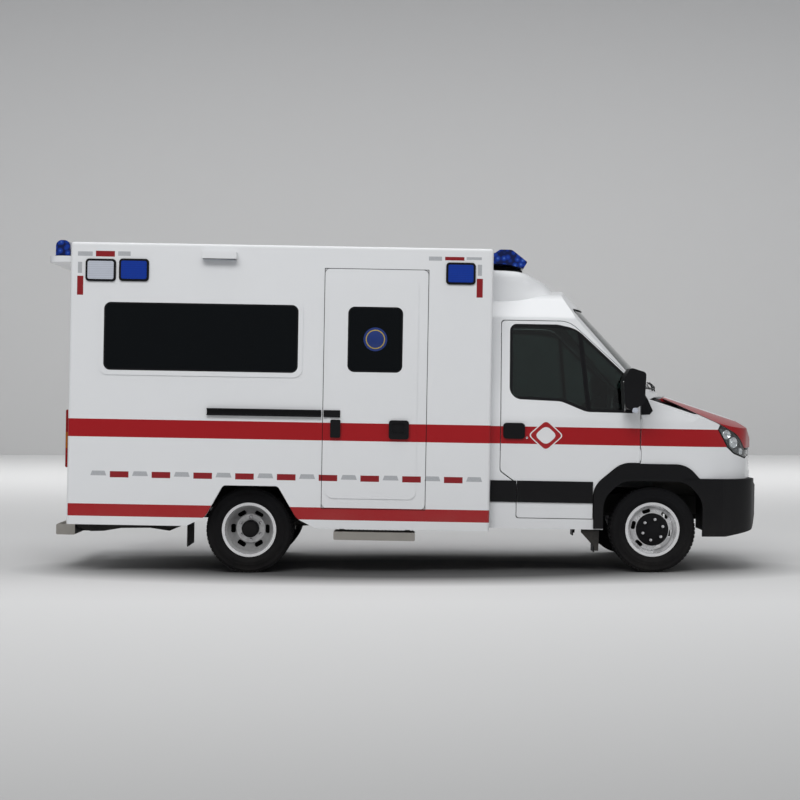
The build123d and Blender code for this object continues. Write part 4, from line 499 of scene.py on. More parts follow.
BOX_RED = [
    ((-4.80, 1.05, 1.036), (-1.330, 1.2, 1.181)),
    ((-4.760, 1.05, 0.394), (-1.330, 1.2, 0.494)),
]
REAR_RED = [((-4.90, -0.1, 1.036), (-4.742, 1.2, 1.181))]
CAB_RED = [((-1.36, 0.84, 1.035), (0.60, 1.1, 1.177))]
BONNET_RED = [((-0.2, 0.47, 0.9), (1.0, 1.1, 1.6))]
TAPE_RED = [
    ((-4.565, 1.05, 2.494), (-4.411, 1.2, 2.544)), ((-4.713, 1.05, 2.181), (-4.663, 1.2, 2.335)),
    ((-1.739, 1.05, 2.511), (-1.583, 1.2, 2.561)), ((-1.480, 1.05, 2.214), (-1.430, 1.2, 2.367)),
]
TAPE_SILVER = [
    ((-4.711, 1.05, 2.497), (-4.591, 1.2, 2.533)), ((-4.385, 1.05, 2.502), (-4.284, 1.2, 2.538)),
    ((-4.709, 1.05, 2.358), (-4.675, 1.2, 2.448)),
    ((-1.870, 1.05, 2.507), (-1.764, 1.2, 2.543)), ((-1.565, 1.05, 2.518), (-1.442, 1.2, 2.554)),
    ((-1.473, 1.05, 2.391), (-1.439, 1.2, 2.480)),
]
RED_DASHES = {"First": -4.346, "Count": 9.0, "Half_length": 0.0755, "Height": 0.734}
SILVER_DASHES = {"First": -4.515, "Count": 10.0, "Half_length": 0.058, "Height": 0.742, "Half_width": 0.019,
                 "Slant": 0.35}
LIGHT_BAR_DOMES = [((-1.36, -0.1, 2.40), (-1.0, 1.0, 2.75)), ((-5.0, -0.1, 2.44), (-4.76, 1.0, 2.75))]
AMBER_BAND = (1.02, 1.15)
STEP_ARM = ((-4.773, -0.1, 0.0), (-2.7, 1.2, 1.0))


def patches(tree, place, boxes):
    """The share of a set of film boxes: 1 where any of them lies."""
    total = 0.0
    for low, high in boxes:
        mask = use(tree, "patch", Place=place, Low=low, High=high)["Mask"]
        total = calc(tree, "MAXIMUM", mask, total)
    return total


def painted(name, films, tapes=False, also=None):
    """White coachwork paint, with its films laid on the faces that look outward."""
    colours = bpy.context.scene.ambulance_colours
    tree, shader = finish(
        name, tuple(colours.white)[:3], 0.28, (700.0, 1.6, 0.03), 0.06, 0.0003, (0.10, 0.7),
        Coat_Weight=0.3, Coat_Roughness=0.05, Specular_IOR_Level=0.3,
    )
    body = use(tree, "place")
    facing = calc(tree, "MAXIMUM", body["Outward"], body[also]) if also else body["Outward"]
    if films:
        share = calc(tree, "MULTIPLY", patches(tree, body["Place"], films), calc(tree, "GREATER_THAN", facing, 0.02))
        worn = use(tree, "road_film", Colour=tuple(colours.red), Amount=0.25, Top=0.8, Roughness=0.32)
        recolour(tree, shader, share, worn["Colour"], worn["Roughness"])
    if tapes:
        sizes = bpy.context.scene.ambulance_sizes
        row = {"Place": body["Place"], "Pitch": sizes.tape_pitch}
        dashes = use(tree, "dashes", Half_width=sizes.tape_width / 2, **row, **RED_DASHES)["Mask"]
        trapezoids = use(tree, "dashes", **row, **SILVER_DASHES)["Mask"]
        cells = node(tree, "ShaderNodeTexVoronoi", {"Vector": object_place(tree), "Scale": 260.0})
        glint = ranged(tree, cells.outputs["Distance"], 0.0, 0.6, 0.75, 1.1)
        outer = calc(tree, "GREATER_THAN", body["Outward"], 0.5)
        for mask, boxes, colour in ((trapezoids, TAPE_SILVER, colours.tape_silver),
                                    (dashes, TAPE_RED, colours.tape_red)):
            laid = calc(tree, "MAXIMUM", mask, patches(tree, body["Place"], boxes))
            recolour(tree, shader, calc(tree, "MULTIPLY", laid, outer), toned(tree, tuple(colour)[:3], glint), 0.3)


def wheel_finish(name, centre, cap_radius, cap_face, dish_dark_low):
    """Silver enamel, darker in clouds in the dish, with a black cap that starts at a depth, and its back painted
    near-black as painted shade, in metres of the wheel.
    """
    dish_edge, back_face, dish_dark_span, metal = (0.185, 0.205), -0.004, 0.3, 0.6
    tree, shader = finish(name, (0.86, 0.86, 0.87), 0.24, (420.0, 9.0, 0.12), 0.10, 0.0003)
    place = object_place(tree)
    local = parts_of(tree, vector_calc(tree, "SUBTRACT", place, centre))
    flat = node(tree, "ShaderNodeCombineXYZ", {0: local[0], 2: local[2]})
    radius = vector_calc(tree, "LENGTH", flat.outputs[0])
    depth = calc(tree, "MULTIPLY", local[1], math.copysign(1.0, centre[1]))
    # Darker in clouds in the dish, with a rougher surface there
    dish = calc(tree, "SUBTRACT", 1.0, ranged(tree, radius, *dish_edge))
    cloud = ranged(tree, noise(tree, place, 14.0, 5.0), 0.3, 0.7, dish_dark_low, dish_dark_low + dish_dark_span)
    recolour(tree, shader, calc(tree, "MULTIPLY", dish, cloud), (0.13, 0.12, 0.11, 1), 0.6)
    inside, proud = calc(tree, "LESS_THAN", radius, cap_radius), calc(tree, "GREATER_THAN", depth, cap_face)
    cap = calc(tree, "MULTIPLY", inside, proud)
    recolour(tree, shader, cap, (0.002, 0.002, 0.003, 1), 0.9)
    # Painted shade: the back of the wheel is painted near-black and not metallic
    painted_back_shade = calc(tree, "LESS_THAN", depth, back_face)
    recolour(tree, shader, painted_back_shade, (0.006, 0.006, 0.007, 1), 0.8)
    bare = calc(tree, "SUBTRACT", 1.0, calc(tree, "MAXIMUM", cap, painted_back_shade))
    tree.links.new(calc(tree, "MULTIPLY", bare, metal), shader.inputs["Metallic"])


def lens_finish(name, colour, pitch=0.012):
    """A moulded lens with upright flutes, and a pillow between them, with painted shade in their hollows."""
    tree, shader = finish(name, colour, 0.12, (900.0, 8.0, 0.12), 0.02, 0.0002,
                          Coat_Weight=0.4, Coat_Roughness=0.03, Specular_IOR_Level=0.3)
    place = parts_of(tree, object_place(tree))
    flutes, pillows = [
        calc(tree, "ABSOLUTE", calc(tree, "SINE", calc(tree, "MULTIPLY", place[axis], turns * math.pi / pitch)))
        for axis, turns in (("X", 1.0), ("Z", 0.45))]
    height = calc(tree, "ADD", flutes, calc(tree, "MULTIPLY", pillows, 0.5))
    # Painted shade in the hollows of the flutes and pillows
    relief_with_painted_shade(tree, shader, height, 0.3, 0.2, 1.4, 0.72, 1.08)
    return tree, shader


def glass_finish(name, colour, transmission, roughness=0.02, mirror=0.5):
    """Pane glass, a little uneven in its tone."""
    finish(name, colour, roughness, (40.0, 2.0, 0.1), 0.01, 0.0002, None,
           Transmission_Weight=transmission, IOR=1.5, Specular_IOR_Level=mirror)


def woven_finish(name, colour, thread=0.0022):
    """Seat cloth: two crossing ribs of thread, with painted shade between them."""
    tree, shader = finish(name, colour, 0.85, (500.0, 6.0, 0.25), 0.1, 0.0004,
                          Sheen_Weight=0.3, Sheen_Roughness=0.5)
    place = parts_of(tree, object_place(tree))
    warp, weft = [calc(tree, "SINE", calc(tree, "MULTIPLY", along, 2 * math.pi / thread))
                  for along in (calc(tree, "ADD", place["X"], place["Z"]), place["Y"])]
    # Painted shade between the ribs of thread
    relief_with_painted_shade(tree, shader, calc(tree, "MULTIPLY", warp, weft), 0.5, -1.0, 1.0, 0.6, 1.25)


def banded_lens(name):
    """A rear lamp: red below and above, amber between, with ribs."""
    tree, shader = lens_finish(name, (0.26, 0.006, 0.006), 0.016)
    height = parts_of(tree, object_place(tree))["Z"]
    above, below = calc(tree, "GREATER_THAN", height, AMBER_BAND[0]), calc(tree, "LESS_THAN", height, AMBER_BAND[1])
    recolour(tree, shader, calc(tree, "MULTIPLY", above, below), (0.34, 0.10, 0.01, 1))


def dome_lens(name):
    """Blue lenses, with painted shade and painted highlights that stand in for the facets of the reflectors under the
    domes of the light bars.
    """
    tree, shader = lens_finish(name, (0.004, 0.035, 0.30), 0.008)
    domes = patches(tree, use(tree, "place")["Place"], LIGHT_BAR_DOMES)
    cell = node(tree, "ShaderNodeTexVoronoi", {"Vector": object_place(tree), "Scale": 22.0}).outputs["Distance"]
    # Painted shade on the dark facets, and painted highlights on the bright ones, within the domes
    dark = calc(tree, "MULTIPLY", ranged(tree, cell, 0.35, 0.62), domes)
    light = calc(tree, "MULTIPLY", calc(tree, "SUBTRACT", 1.0, ranged(tree, cell, 0.08, 0.26)), domes)
    recolour(tree, shader, dark, (0.002, 0.008, 0.06, 1))
    recolour(tree, shader, calc(tree, "MULTIPLY", light, 0.55), (0.10, 0.22, 0.62, 1))


# Geometry Nodes


def piece_tree(name, sockets, build):
    """A Geometry Nodes tree with named inputs that ends in real meshes with one finish."""
    tree = bpy.data.node_groups.new(name, "GeometryNodeTree")
    for label, kind, default in sockets:
        socket = tree.interface.new_socket(label, in_out="INPUT", socket_type=kind)
        if default is not None:
            socket.default_value = default
    tree.interface.new_socket("Finish", in_out="INPUT", socket_type="NodeSocketMaterial")
    tree.interface.new_socket("Geometry", in_out="OUTPUT", socket_type="NodeSocketGeometry")
    given = tree.nodes.new("NodeGroupInput").outputs
    instances = build(tree, given)
    real = node(tree, "GeometryNodeRealizeInstances", {0: instances})
    dressed = node(tree, "GeometryNodeSetMaterial", {"Geometry": real.outputs[0], "Material": given["Finish"]})
    tree.links.new(dressed.outputs[0], tree.nodes.new("NodeGroupOutput").inputs[0])
    return tree


def ring_of_pieces(tree, given):
    """Copies of a piece, turned evenly about the crosswise axis."""
    points = node(tree, "GeometryNodeMeshLine", {"Count": given["Count"], "Offset": (0, 0, 0)})
    number = node(tree, "GeometryNodeInputIndex").outputs[0]
    angle = calc(tree, "DIVIDE", calc(tree, "MULTIPLY", number, 2 * math.pi), given["Count"])
    angle = calc(tree, "ADD", angle, given["First turn"])
    turn = node(tree, "ShaderNodeCombineXYZ", {"Y": angle}).outputs[0]
    piece = node(tree, "GeometryNodeObjectInfo", {"Object": given["Piece"]})
    return node(tree, "GeometryNodeInstanceOnPoints", {
        "Points": points.outputs[0], "Instance": piece.outputs["Geometry"], "Rotation": turn}).outputs[0]


def row_of_pieces(tree, given):
    """Copies of a piece in a straight row."""
    points = node(tree, "GeometryNodeMeshLine", {
        "Count": given["Count"], "Start Location": given["Start"], "Offset": given["Step"]})
    piece = node(tree, "GeometryNodeObjectInfo", {"Object": given["Piece"]})
    return node(tree, "GeometryNodeInstanceOnPoints", {
        "Points": points.outputs[0], "Instance": piece.outputs["Geometry"]}).outputs[0]


def grid_of_pieces(tree, given):
    """Copies of a piece in rows and columns."""
    points = node(tree, "GeometryNodeMeshGrid", {
        "Size X": given["Length"], "Size Y": given["Width"],
        "Vertices X": given["Count along"], "Vertices Y": given["Count across"]})
    piece = node(tree, "GeometryNodeObjectInfo", {"Object": given["Piece"]})
    instances = node(tree, "GeometryNodeInstanceOnPoints", {
        "Points": points.outputs[0], "Instance": piece.outputs["Geometry"]}).outputs[0]
    return node(tree, "GeometryNodeTransform", {"Geometry": instances, "Translation": given["Middle"]}).outputs[0]


def build_trees():
    """The trees for rings, rows and grids of like pieces."""
    whole, length, place, thing = "NodeSocketInt", "NodeSocketFloat", "NodeSocketVector", "NodeSocketObject"
    return {
        "ring": piece_tree("ring_of_pieces", [
            ("Piece", thing, None), ("Count", whole, 6), ("First turn", length, 0.0)], ring_of_pieces),
        "row": piece_tree("row_of_pieces", [
            ("Piece", thing, None), ("Count", whole, 2), ("Start", place, (0, 0, 0)), ("Step", place, (10, 0, 0))],
            row_of_pieces),
        "grid": piece_tree("grid_of_pieces", [
            ("Piece", thing, None), ("Count along", whole, 2), ("Count across", whole, 2),
            ("Length", length, 10.0), ("Width", length, 10.0), ("Middle", place, (0, 0, 0))], grid_of_pieces),
    }


TREES = {}


def evaluated_mesh(piece):
    """The mesh that an object's modifiers make."""
    graph = bpy.context.evaluated_depsgraph_get()
    return bpy.data.meshes.new_from_object(piece.evaluated_get(graph), depsgraph=graph)


def repeated(bench, kind, piece, material, matrix=None, **inputs):
    """Runs a Geometry Nodes tree on a small piece, and adds the plain mesh that it makes."""
    source = piece.plain_mesh("repeated_piece")
    pattern = bpy.data.objects.new("repeated_piece", source)
    holder = bpy.data.objects.new("repeated_holder", bpy.data.meshes.new("repeated_holder"))
    for thing in (pattern, holder):
        bpy.context.scene.collection.objects.link(thing)
    modifier = holder.modifiers.new("Repeat", "NODES")
    modifier.node_group = TREES[kind]
    given = {"Piece": pattern, "Finish": material}
    given.update({label.replace("_", " "): value for label, value in inputs.items()})
    for item in TREES[kind].interface.items_tree:
        if item.item_type == "SOCKET" and item.in_out == "INPUT":
            modifier[item.identifier] = given[item.name]
    made = evaluated_mesh(holder)
    if not made.polygons:
        raise RuntimeError("the tree " + kind + " made nothing")
    holder.modifiers.remove(modifier)
    bpy.data.objects.remove(holder)
    bpy.data.objects.remove(pattern)
    bpy.data.meshes.remove(source)
    bench.join(made, material, matrix)


# Finishes of the CAD nodes


def make_finishes():
    """Builds the groups, trees and materials that the pieces share."""
    colours = bpy.context.scene.ambulance_colours
    GROUPS.update(place=body_place_group(), patch=film_patch_group(), dashes=dash_row_group(),
                  road_film=road_film_group(), grain=grain_group())
    TREES.update(build_trees())
    painted("box_side_paint", BOX_RED + REAR_RED, tapes=True, also="Back")
    painted("cab_side_paint", CAB_RED)
    painted("bonnet_paint", BONNET_RED, also="Up")
    painted("plain_white_paint", [])
    for name, tone, roughness, grain, bump, depth, dust, specular in (
        ("moulded_black", (0.008, 0.008, 0.009), 0.5, (520.0, 3.0, 0.2), 0.35, 0.0004, (0.06, 0.8), 0.14),
        ("satin_black", (0.008, 0.008, 0.009), 0.35, (900.0, 4.0, 0.12), 0.12, 0.0003, (0.05, 0.8), 0.2),
        ("rubber_seal", (0.009, 0.009, 0.010), 0.7, (800.0, 6.0, 0.15), 0.3, 0.0003, (0.05, 1.2), 0.15),
        ("tyre_rubber", (0.006, 0.006, 0.007), 0.7, (260.0, 5.0, 0.3), 0.4, 0.0005, (0.05, 0.7), 0.14),
        ("chassis_paint", (0.010, 0.010, 0.011), 0.6, (180.0, 4.0, 0.3), 0.4, 0.0006, (0.22, 0.9), 0.2),
    ):
        finish(name, tone, roughness, grain, bump, depth, dust, Specular_IOR_Level=specular)
    for name, tone, roughness, grain, bump, depth, dust, metal in (
        ("cast_metal", (0.10, 0.098, 0.095), 0.5, (240.0, 7.0, 0.35), 0.6, 0.0008, (0.3, 1.2), 0.7),
        ("bright_steel", (0.72, 0.72, 0.73), 0.22, (700.0, 12.0, 0.12), 0.05, 0.0002, None, 1.0),
        ("chrome", (0.90, 0.91, 0.92), 0.12, (120.0, 4.0, 0.08), 0.02, 0.0002, None, 0.75),
        ("lamp_bucket", (0.10, 0.105, 0.11), 0.3, (160.0, 5.0, 0.3), 0.1, 0.0003, None, 0.6),
        ("mirror_glass", (0.8, 0.82, 0.83), 0.02, (90.0, 4.0, 0.05), 0.01, 0.0001, None, 1.0),
    ):
        finish(name, tone, roughness, grain, bump, depth, dust, Metallic=metal)
    tree, shader = finish("step_metal", (0.40, 0.38, 0.35), 0.42, (220.0, 10.0, 0.22), 0.3, 0.0005, (0.2, 0.6))
    arm = use(tree, "patch", Place=use(tree, "place")["Place"], Low=STEP_ARM[0], High=STEP_ARM[1])["Mask"]
    recolour(tree, shader, arm, (0.010, 0.010, 0.011, 1), 0.6)
    tree.links.new(calc(tree, "SUBTRACT", 0.6, calc(tree, "MULTIPLY", arm, 0.6)), shader.inputs["Metallic"])
    finish("floor_covering", (0.10, 0.105, 0.11), 0.7, (420.0, 3.0, 0.2), 0.5, 0.0006, (0.2, 1.2))
    finish("film_red", tuple(colours.red)[:3], 0.32, (500.0, 3.0, 0.04), 0.05, 0.0002, Coat_Weight=0.4)
    finish("film_white", (0.76, 0.76, 0.77), 0.3, (500.0, 3.0, 0.04), 0.05, 0.0002, Coat_Weight=0.4)
    finish("disc_blue", (0.01, 0.03, 0.16), 0.4, (500.0, 9.0, 0.15), 0.05, 0.0002)
    finish("disc_yellow", (0.42, 0.30, 0.06), 0.4, (500.0, 9.0, 0.15), 0.05, 0.0002)
    glass_finish("cab_glass", (0.10, 0.14, 0.13), 1.0, 0.02, 0.4)
    glass_finish("privacy_glass", (0.004, 0.005, 0.006), 0.0, 0.06, 0.16)
    glass_finish("lamp_cover", (0.92, 0.94, 0.95), 0.97, 0.03)
    dome_lens("blue_lens")
    lens_finish("clear_lens", (0.50, 0.53, 0.60), 0.008)
    banded_lens("rear_lens")
    woven_finish("seat_cloth", (0.05, 0.052, 0.058))
    for _, label in SIDES:
        for wheel, cap_radius, cap_face, dish_dark in (("front", 0.1335, 0.0555, 0.0), ("rear", 0.071, 0.013, 0.15)):
            centre = tuple(JOINTS[wheel + "_spin_" + label]["pos_m"])
            wheel_finish(wheel + "_wheel_enamel_" + label, centre, cap_radius, cap_face, dish_dark)


CAD_FINISHES = {
    "box_side_paint": ["box_wall_left", "box_wall_right", "side_door", "box_rear_frame", "rear_door_left",
                       "rear_door_right"],
    "cab_side_paint": ["cab_door_left", "cab_door_right", "cab_frame", "front_fenders", "front_panel"],
    "bonnet_paint": ["bonnet"],
    "plain_white_paint": ["box_roof", "box_front_wall", "cab_roof", "cab_rear_wall", "roof_fairing"],
    "moulded_black": ["arch_flares", "arch_liners", "front_bumper", "cab_door_fittings_left",
                      "cab_door_fittings_right", "cowl", "dashboard", "fuel_tank", "grille"],
    "satin_black": ["lamp_bezels", "side_door_fittings", "steering_wheel"],
    "tyre_rubber": ["front_tyre_left", "front_tyre_right", "rear_tyres_left", "rear_tyres_right"],
    "chassis_paint": ["chassis_frame", "suspension"],
    "cast_metal": ["powertrain", "rear_axle", "knuckle_left", "knuckle_right", "steering_rack"],
    "step_metal": ["entry_steps"],
    "floor_covering": ["cab_floor", "box_floor"],
    "cab_glass": ["windscreen", "cab_door_glass_left", "cab_door_glass_right"],
    "privacy_glass": ["box_windows", "rear_door_glass_left", "rear_door_glass_right"],
    "blue_lens": ["blue_lamps"],
    "clear_lens": ["clear_lamps"],
    "rear_lens": ["tail_lamps"],
    "lamp_cover": ["headlamps"],
    "seat_cloth": ["cab_seats"],
    "front_wheel_enamel_left": ["front_rim_left"],
    "front_wheel_enamel_right": ["front_rim_right"],
    "rear_wheel_enamel_left": ["rear_rims_left"],
    "rear_wheel_enamel_right": ["rear_rims_right"],
}


def dress_nodes():
    """Gives every CAD node its finish."""
    left = set(NODES)
    for name, nodes in CAD_FINISHES.items():
        for label in nodes:
            left.discard(label)
            slots = NODES[label].data.materials
            for number in range(len(slots)):
                slots[number] = FINISHES[name]
    if left:
        raise RuntimeError("nodes without a finish: " + ", ".join(sorted(left)))


# Tyres and wheels, in millimetres about the wheel's own middle

TREAD_ROWS = (  # low and high edge across the tyre, drop below its radius, skew
    (-88, -58, 2.0, 0.10), (-50, -20, 0.0, 0.3), (-13, 13, 0.0, -0.35), (20, 50, 0.0, 0.3), (58, 88, 2.0, 0.10),
)
BLOCK_SHARE, BLOCK_EASE, BLOCK_ROOT, ROW_TURN = 0.8, 1.6, 5, 0.02
WHEELS = (  # name, its tyres' places across, CAD tyre, foot and end of the nuts, their circle, first nut's turn
    ("front", (0,), "front_tyre_", (76, 108), 86, 42),
    ("rear", (-112, 112), "rear_tyres_", (2, 31), 94, 30),
)
HUB_END = ((96, 64), (104, 64), (107, 56))


def tyre_rows(tread):
    """The tyre's outline: bead, side wall with its ribs, shoulder and the base of the tread."""
    half = [
        (68, 206.3), (68, 222.3), (74, 225), (83, 235), (86, 236), (88, 242), (93, 250), (96.6, 260),
        (97.5, 263), (97.5, 266), (97.0, 272), (96.2, 274), (96.8, 287), (95.4, 289), (93.6, 308), (91.5, 322),
        (92.5, 325), (91, 329), (86, 338), (81, tread), (0, tread + 0.4),
    ]
    return [(-y, r) for y, r in half] + [(y, r) for y, r in reversed(half[:-1])] + [(-68, 206.3)]


def tread_block(low, high, radius, base, length, skew):
    """One tread block between two places across the tyre."""
    block = Bench()
    points = []
    for r, ease in ((base, 0.0), (radius, BLOCK_EASE)):
        for y, side in ((low, 1), (high, -1)):
            for end in (-1, 1):
                angle = (end * (length / 2 - ease) + skew * y) / radius
                points.append((r * math.sin(angle), y + side * ease, r * math.cos(angle)))
    block.add(points, [(0, 1, 3, 2), (4, 6, 7, 5), (0, 4, 5, 1), (2, 3, 7, 6), (0, 2, 6, 4), (1, 5, 7, 3)], None)
    return block


def make_tyre(bench, place):
    """A tyre with its tread, at a place along the axle."""
    sizes = bpy.context.scene.ambulance_sizes
    top, rubber = sizes.tyre_radius / MM, FINISHES["tyre_rubber"]
    base = top - sizes.tread_depth / MM
    turned(bench, tyre_rows(base), (0, place, 0), rubber, 96)
    length = 2 * math.pi * top / sizes.tread_count * BLOCK_SHARE
    for number, (low, high, drop, skew) in enumerate(TREAD_ROWS):
        block = tread_block(low, high, top - drop, base - BLOCK_ROOT, length, skew)
        repeated(bench, "ring", block, rubber, Matrix.Translation((0, place, 0)), Count=sizes.tread_count,
                 First_turn=ROW_TURN * number)


def wheel_nut(span, circle, side):
    """A wheel nut with a domed end, at its circle on the wheel."""
    radius = bpy.context.scene.ambulance_sizes.nut_size / MM / 2
    foot, end = span[0] * side, span[1] * side
    rows = [(foot, radius + 0.8), (end - 5 * side, radius + 0.8), (end - 2 * side, radius * 0.8), (end, radius * 0.4)]
    nut = Bench()
    turned(nut, rows, (circle, 0, 0), None, 6)
    return nut


def fit_tyres():
    """Tyres with a block tread and ribbed walls, and the wheel nuts."""
    for side, label in SIDES:
        for name, places, tyre_node, nut_span, circle, first_turn in WHEELS:
            joint = JOINTS[name + "_spin_" + label]
            at = Matrix.Translation(Vector(joint["pos_m"])) @ Matrix.Scale(MM, 4)
            tyres = Bench()
            for place in places:
                make_tyre(tyres, place)
            piece = tyres.done("tyre_tread_" + name + "_" + label, joint["child"], "tyre_rubber", at, 30)
            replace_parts(piece, tyre_node + label)
            nuts = Bench()
            if name == "rear":
                turned(nuts, [(y * side, r) for y, r in HUB_END], (0, 0, 0), FINISHES["rubber_seal"], 6)
            repeated(nuts, "ring", wheel_nut(nut_span, circle, side), FINISHES["bright_steel"], None,
                     Count=6, First_turn=math.radians(first_turn))
            nuts.done("wheel_nuts_" + name + "_" + label, joint["child"], "wheel_silver", at, 25)


# Seats

SEAT_PADS = {  # low corner, high corner and rounding of the left pad in millimetres; voxel and most swell in metres
    "cushion": ((-1112, 158, 936), (-658, 602, 1044), 34, 0.016, 0.014),
    "back": ((-1246, 158, 940), (-1146, 602, 1676), 34, 0.018, 0.012),
    "head rest": ((-1226, 257, 1702), (-1160, 503, 1888), 24, 0.012, 0.007),
}
SEAT_MIDDLE, CUSHION_CHANNELS, BACK_CHANNELS = 0.38, (-0.13, 0.13), (1.14, 1.30, 1.46, 1.60)
PAD_PRESSURE, PAD_STEPS = 4.0, 20


def pad_mesh(low, high, radius):
    """A rounded block as the start of a pad."""
    mesh = bpy.data.meshes.new("pad")
    shape = bmesh.new()
    bmesh.ops.create_cube(shape, size=1)
    middle = (Vector(low) + Vector(high)) / 2
    size = Vector(high) - Vector(low)
    for vert in shape.verts:
        vert.co = Vector((vert.co.x * size.x, vert.co.y * size.y, vert.co.z * size.z)) + middle
    bmesh.ops.bevel(shape, geom=list(shape.edges), offset=radius, segments=4, affect="EDGES", profile=0.5)
    bmesh.ops.transform(shape, matrix=LEVEL, verts=shape.verts)
    shape.to_mesh(mesh)
    shape.free()
    return mesh


def plumped(mesh, voxel, cap):
    """Remeshes a pad, blows it up as cloth, and holds each point near where it was."""
    scene = bpy.context.scene
    pad = bpy.data.objects.new("pad", mesh)
    scene.collection.objects.link(pad)
    remesh = pad.modifiers.new("Remesh", "REMESH")
    remesh.mode = "VOXEL"
    remesh.voxel_size = voxel
    data = evaluated_mesh(pad)
    pad.modifiers.clear()
    pad.data = data
    start = [vert.co.copy() for vert in data.vertices]
    cloth = pad.modifiers.new("Cloth", "CLOTH")
    cloth.settings.use_pressure = True
    cloth.settings.uniform_pressure_force = PAD_PRESSURE
    cloth.settings.effector_weights.gravity = 0
    for number in range(PAD_STEPS):
        scene.frame_set(number + 1)
    graph = bpy.context.evaluated_depsgraph_get()
    swollen = [vert.co.copy() for vert in pad.evaluated_get(graph).data.vertices]
    pad.modifiers.clear()
    scene.frame_set(1)
    for vert, rest, blown in zip(data.vertices, start, swollen):
        move = blown - rest
        vert.co = rest + (move.normalized() * min(move.length, cap) if move.length > 0 else move)
    smooth = pad.modifiers.new("Subdivision", "SUBSURF")
    smooth.levels = smooth.render_levels = 1
    done = evaluated_mesh(pad)
    pad.modifiers.clear()
    bpy.data.objects.remove(pad)
    return done


def channel(mesh, axis, places, faces_to, depth, width=0.016):
    """Presses sewn channels into a pad, where it faces one way."""
    for vert in mesh.vertices:
        if vert.normal.dot(faces_to) < 0.3:
            continue
        for place in places:
            away = abs(vert.co[axis] - place)
            if away < width:
                vert.co -= faces_to * depth * (1 - away / width) ** 2


def upholster():
    """Two padded seats with sewn channels."""
    for side, label in SIDES:
        seat = bmesh.new()
        for name, (low, high, radius, voxel, cap) in SEAT_PADS.items():
            near, far = mirrored(side, low[1], high[1])
            mesh = plumped(pad_mesh((low[0], near, low[2]), (high[0], far, high[2]), radius), voxel, cap)
            if name == "cushion":
                places = [side * SEAT_MIDDLE + away for away in CUSHION_CHANNELS]
                channel(mesh, 1, places, Vector((0, 0, 1)), 0.012)
            elif name == "back":
                channel(mesh, 2, BACK_CHANNELS, Vector((1, 0, 0)), 0.010)
            seat.from_mesh(mesh)
            bpy.data.meshes.remove(mesh)
        for face in seat.faces:
            face.smooth = True
        data = bpy.data.meshes.new("seat_padding_" + label)
        seat.to_mesh(data)
        seat.free()
        data.materials.append(FINISHES["seat_cloth"])
        piece = bpy.data.objects.new("seat_padding_" + label, data)
        bpy.context.scene.collection.objects.link(piece)
        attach(piece, "vehicle")
        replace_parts(piece, "cab_seats")


# Glass, seals and trim, in millimetres of the level body: places in the side view are along and up

WINDOW_CORNER, WINDOW_SIZE = (-1190, 1300), (1030, 718)
WINDOW_BORDER, CORNER_PLATE_X = 24, -268
DIVIDER_FOOT, DIVIDER_LEAN, DIVIDER_HALF = (-540, 1300), (-85, 718), 19
CORNER_TRIM = [(-116, 1288), (-46, 1291), (-20, 1322), (-84, 1462), (-116, 1474)]
LOZENGE_MIDDLE = (-890, 1107)
LOZENGE_LAYERS = (  # half length, half height, rounding, inner and outer face, finish
    (146, 134, 34, 998.2, 999.4, "film_white"), (134, 122, 30, 999.2, 1000.2, "film_red"),
    (94, 84, 40, 1000.0, 1001.0, "film_white"),
)
MIRROR_FOOT, MIRROR_RUN, MIRROR_GLASS = (-294.6, 0, 1560), (18, 0, -289), ((0, 1058), (246, 1240), 26)
FOOT_LAMP = [(-226, 1306, 10), (-186, 1304, 8), (-172, 1330, 8), (-190, 1346, 10), (-222, 1344, 12)]
DOOR_LOCK = (-1046, 0, 1086)
SCREEN_FOOT, SCREEN_RUN, SCREEN_OUT, SCREEN_CROWN = (126, 1474), (-0.693, 0, 0.721), (0.721, 0, 0.693), 2700
WIPERS = ((600, 20), (-60, -640))


def outer_side(side):
    """A test for faces that look straight out to one side."""
    return lambda face: face.normal.y * side > 0.6 and face.calc_center_median().y * side > 0


DOOR_WINDOW = [(WINDOW_CORNER[0] + WINDOW_SIZE[0] * u, WINDOW_CORNER[1] + WINDOW_SIZE[1] * v) for u, v in (
    (0, 1), (0, 0.14), (0.41, 0.12), (0.61, 0.005), (1, 0), (0.995, 0.34), (0.53, 0.955), (0.38, 1))]


def cut_skin(skin, place, outward):
    """Cuts off what lies beyond a line in the side view."""
    bmesh.ops.bisect_plane(skin, geom=skin.verts[:] + skin.edges[:] + skin.faces[:], dist=0.01,
                           plane_co=(place[0], 0, place[1]), plane_no=(outward[0], 0, outward[1]), clear_outer=True)


def border_door_window(bench, side, label, material):
    """The black border of a cab door's window, its divider, and its closed front corner."""
    glass = "cab_door_glass_" + label
    points = [Vector(point) for point in DOOR_WINDOW]
    runs = [(points[(n + 1) % len(points)] - points[n]).normalized() for n in range(len(points))]
    for number, run in enumerate(runs):
        start, end = points[number], points[(number + 1) % len(points)]
        inward = Vector((-run.y, run.x))
        skin = copied_skin([glass], outer_side(side))
        cut_skin(skin, start + inward * WINDOW_BORDER, inward)
        cut_skin(skin, start, -(runs[number - 1] + run))
        cut_skin(skin, end, run + runs[(number + 1) % len(points)])
        if skin.faces:
            thickened(bench, skin, 0.2, 2.2, material)
    corner = copied_skin([glass], outer_side(side))
    cut_skin(corner, (CORNER_PLATE_X, 0), (-1, 0))
    thickened(bench, corner, 0.2, 2.0, material)
    divider = copied_skin([glass], outer_side(side))
    lean = Vector(DIVIDER_LEAN).normalized()
    across = Vector((lean.y, -lean.x))
    for way in (1, -1):
        cut_skin(divider, Vector(DIVIDER_FOOT) + across * DIVIDER_HALF * way, across * way)
    thickened(bench, divider, 0.2, 2.6, material)


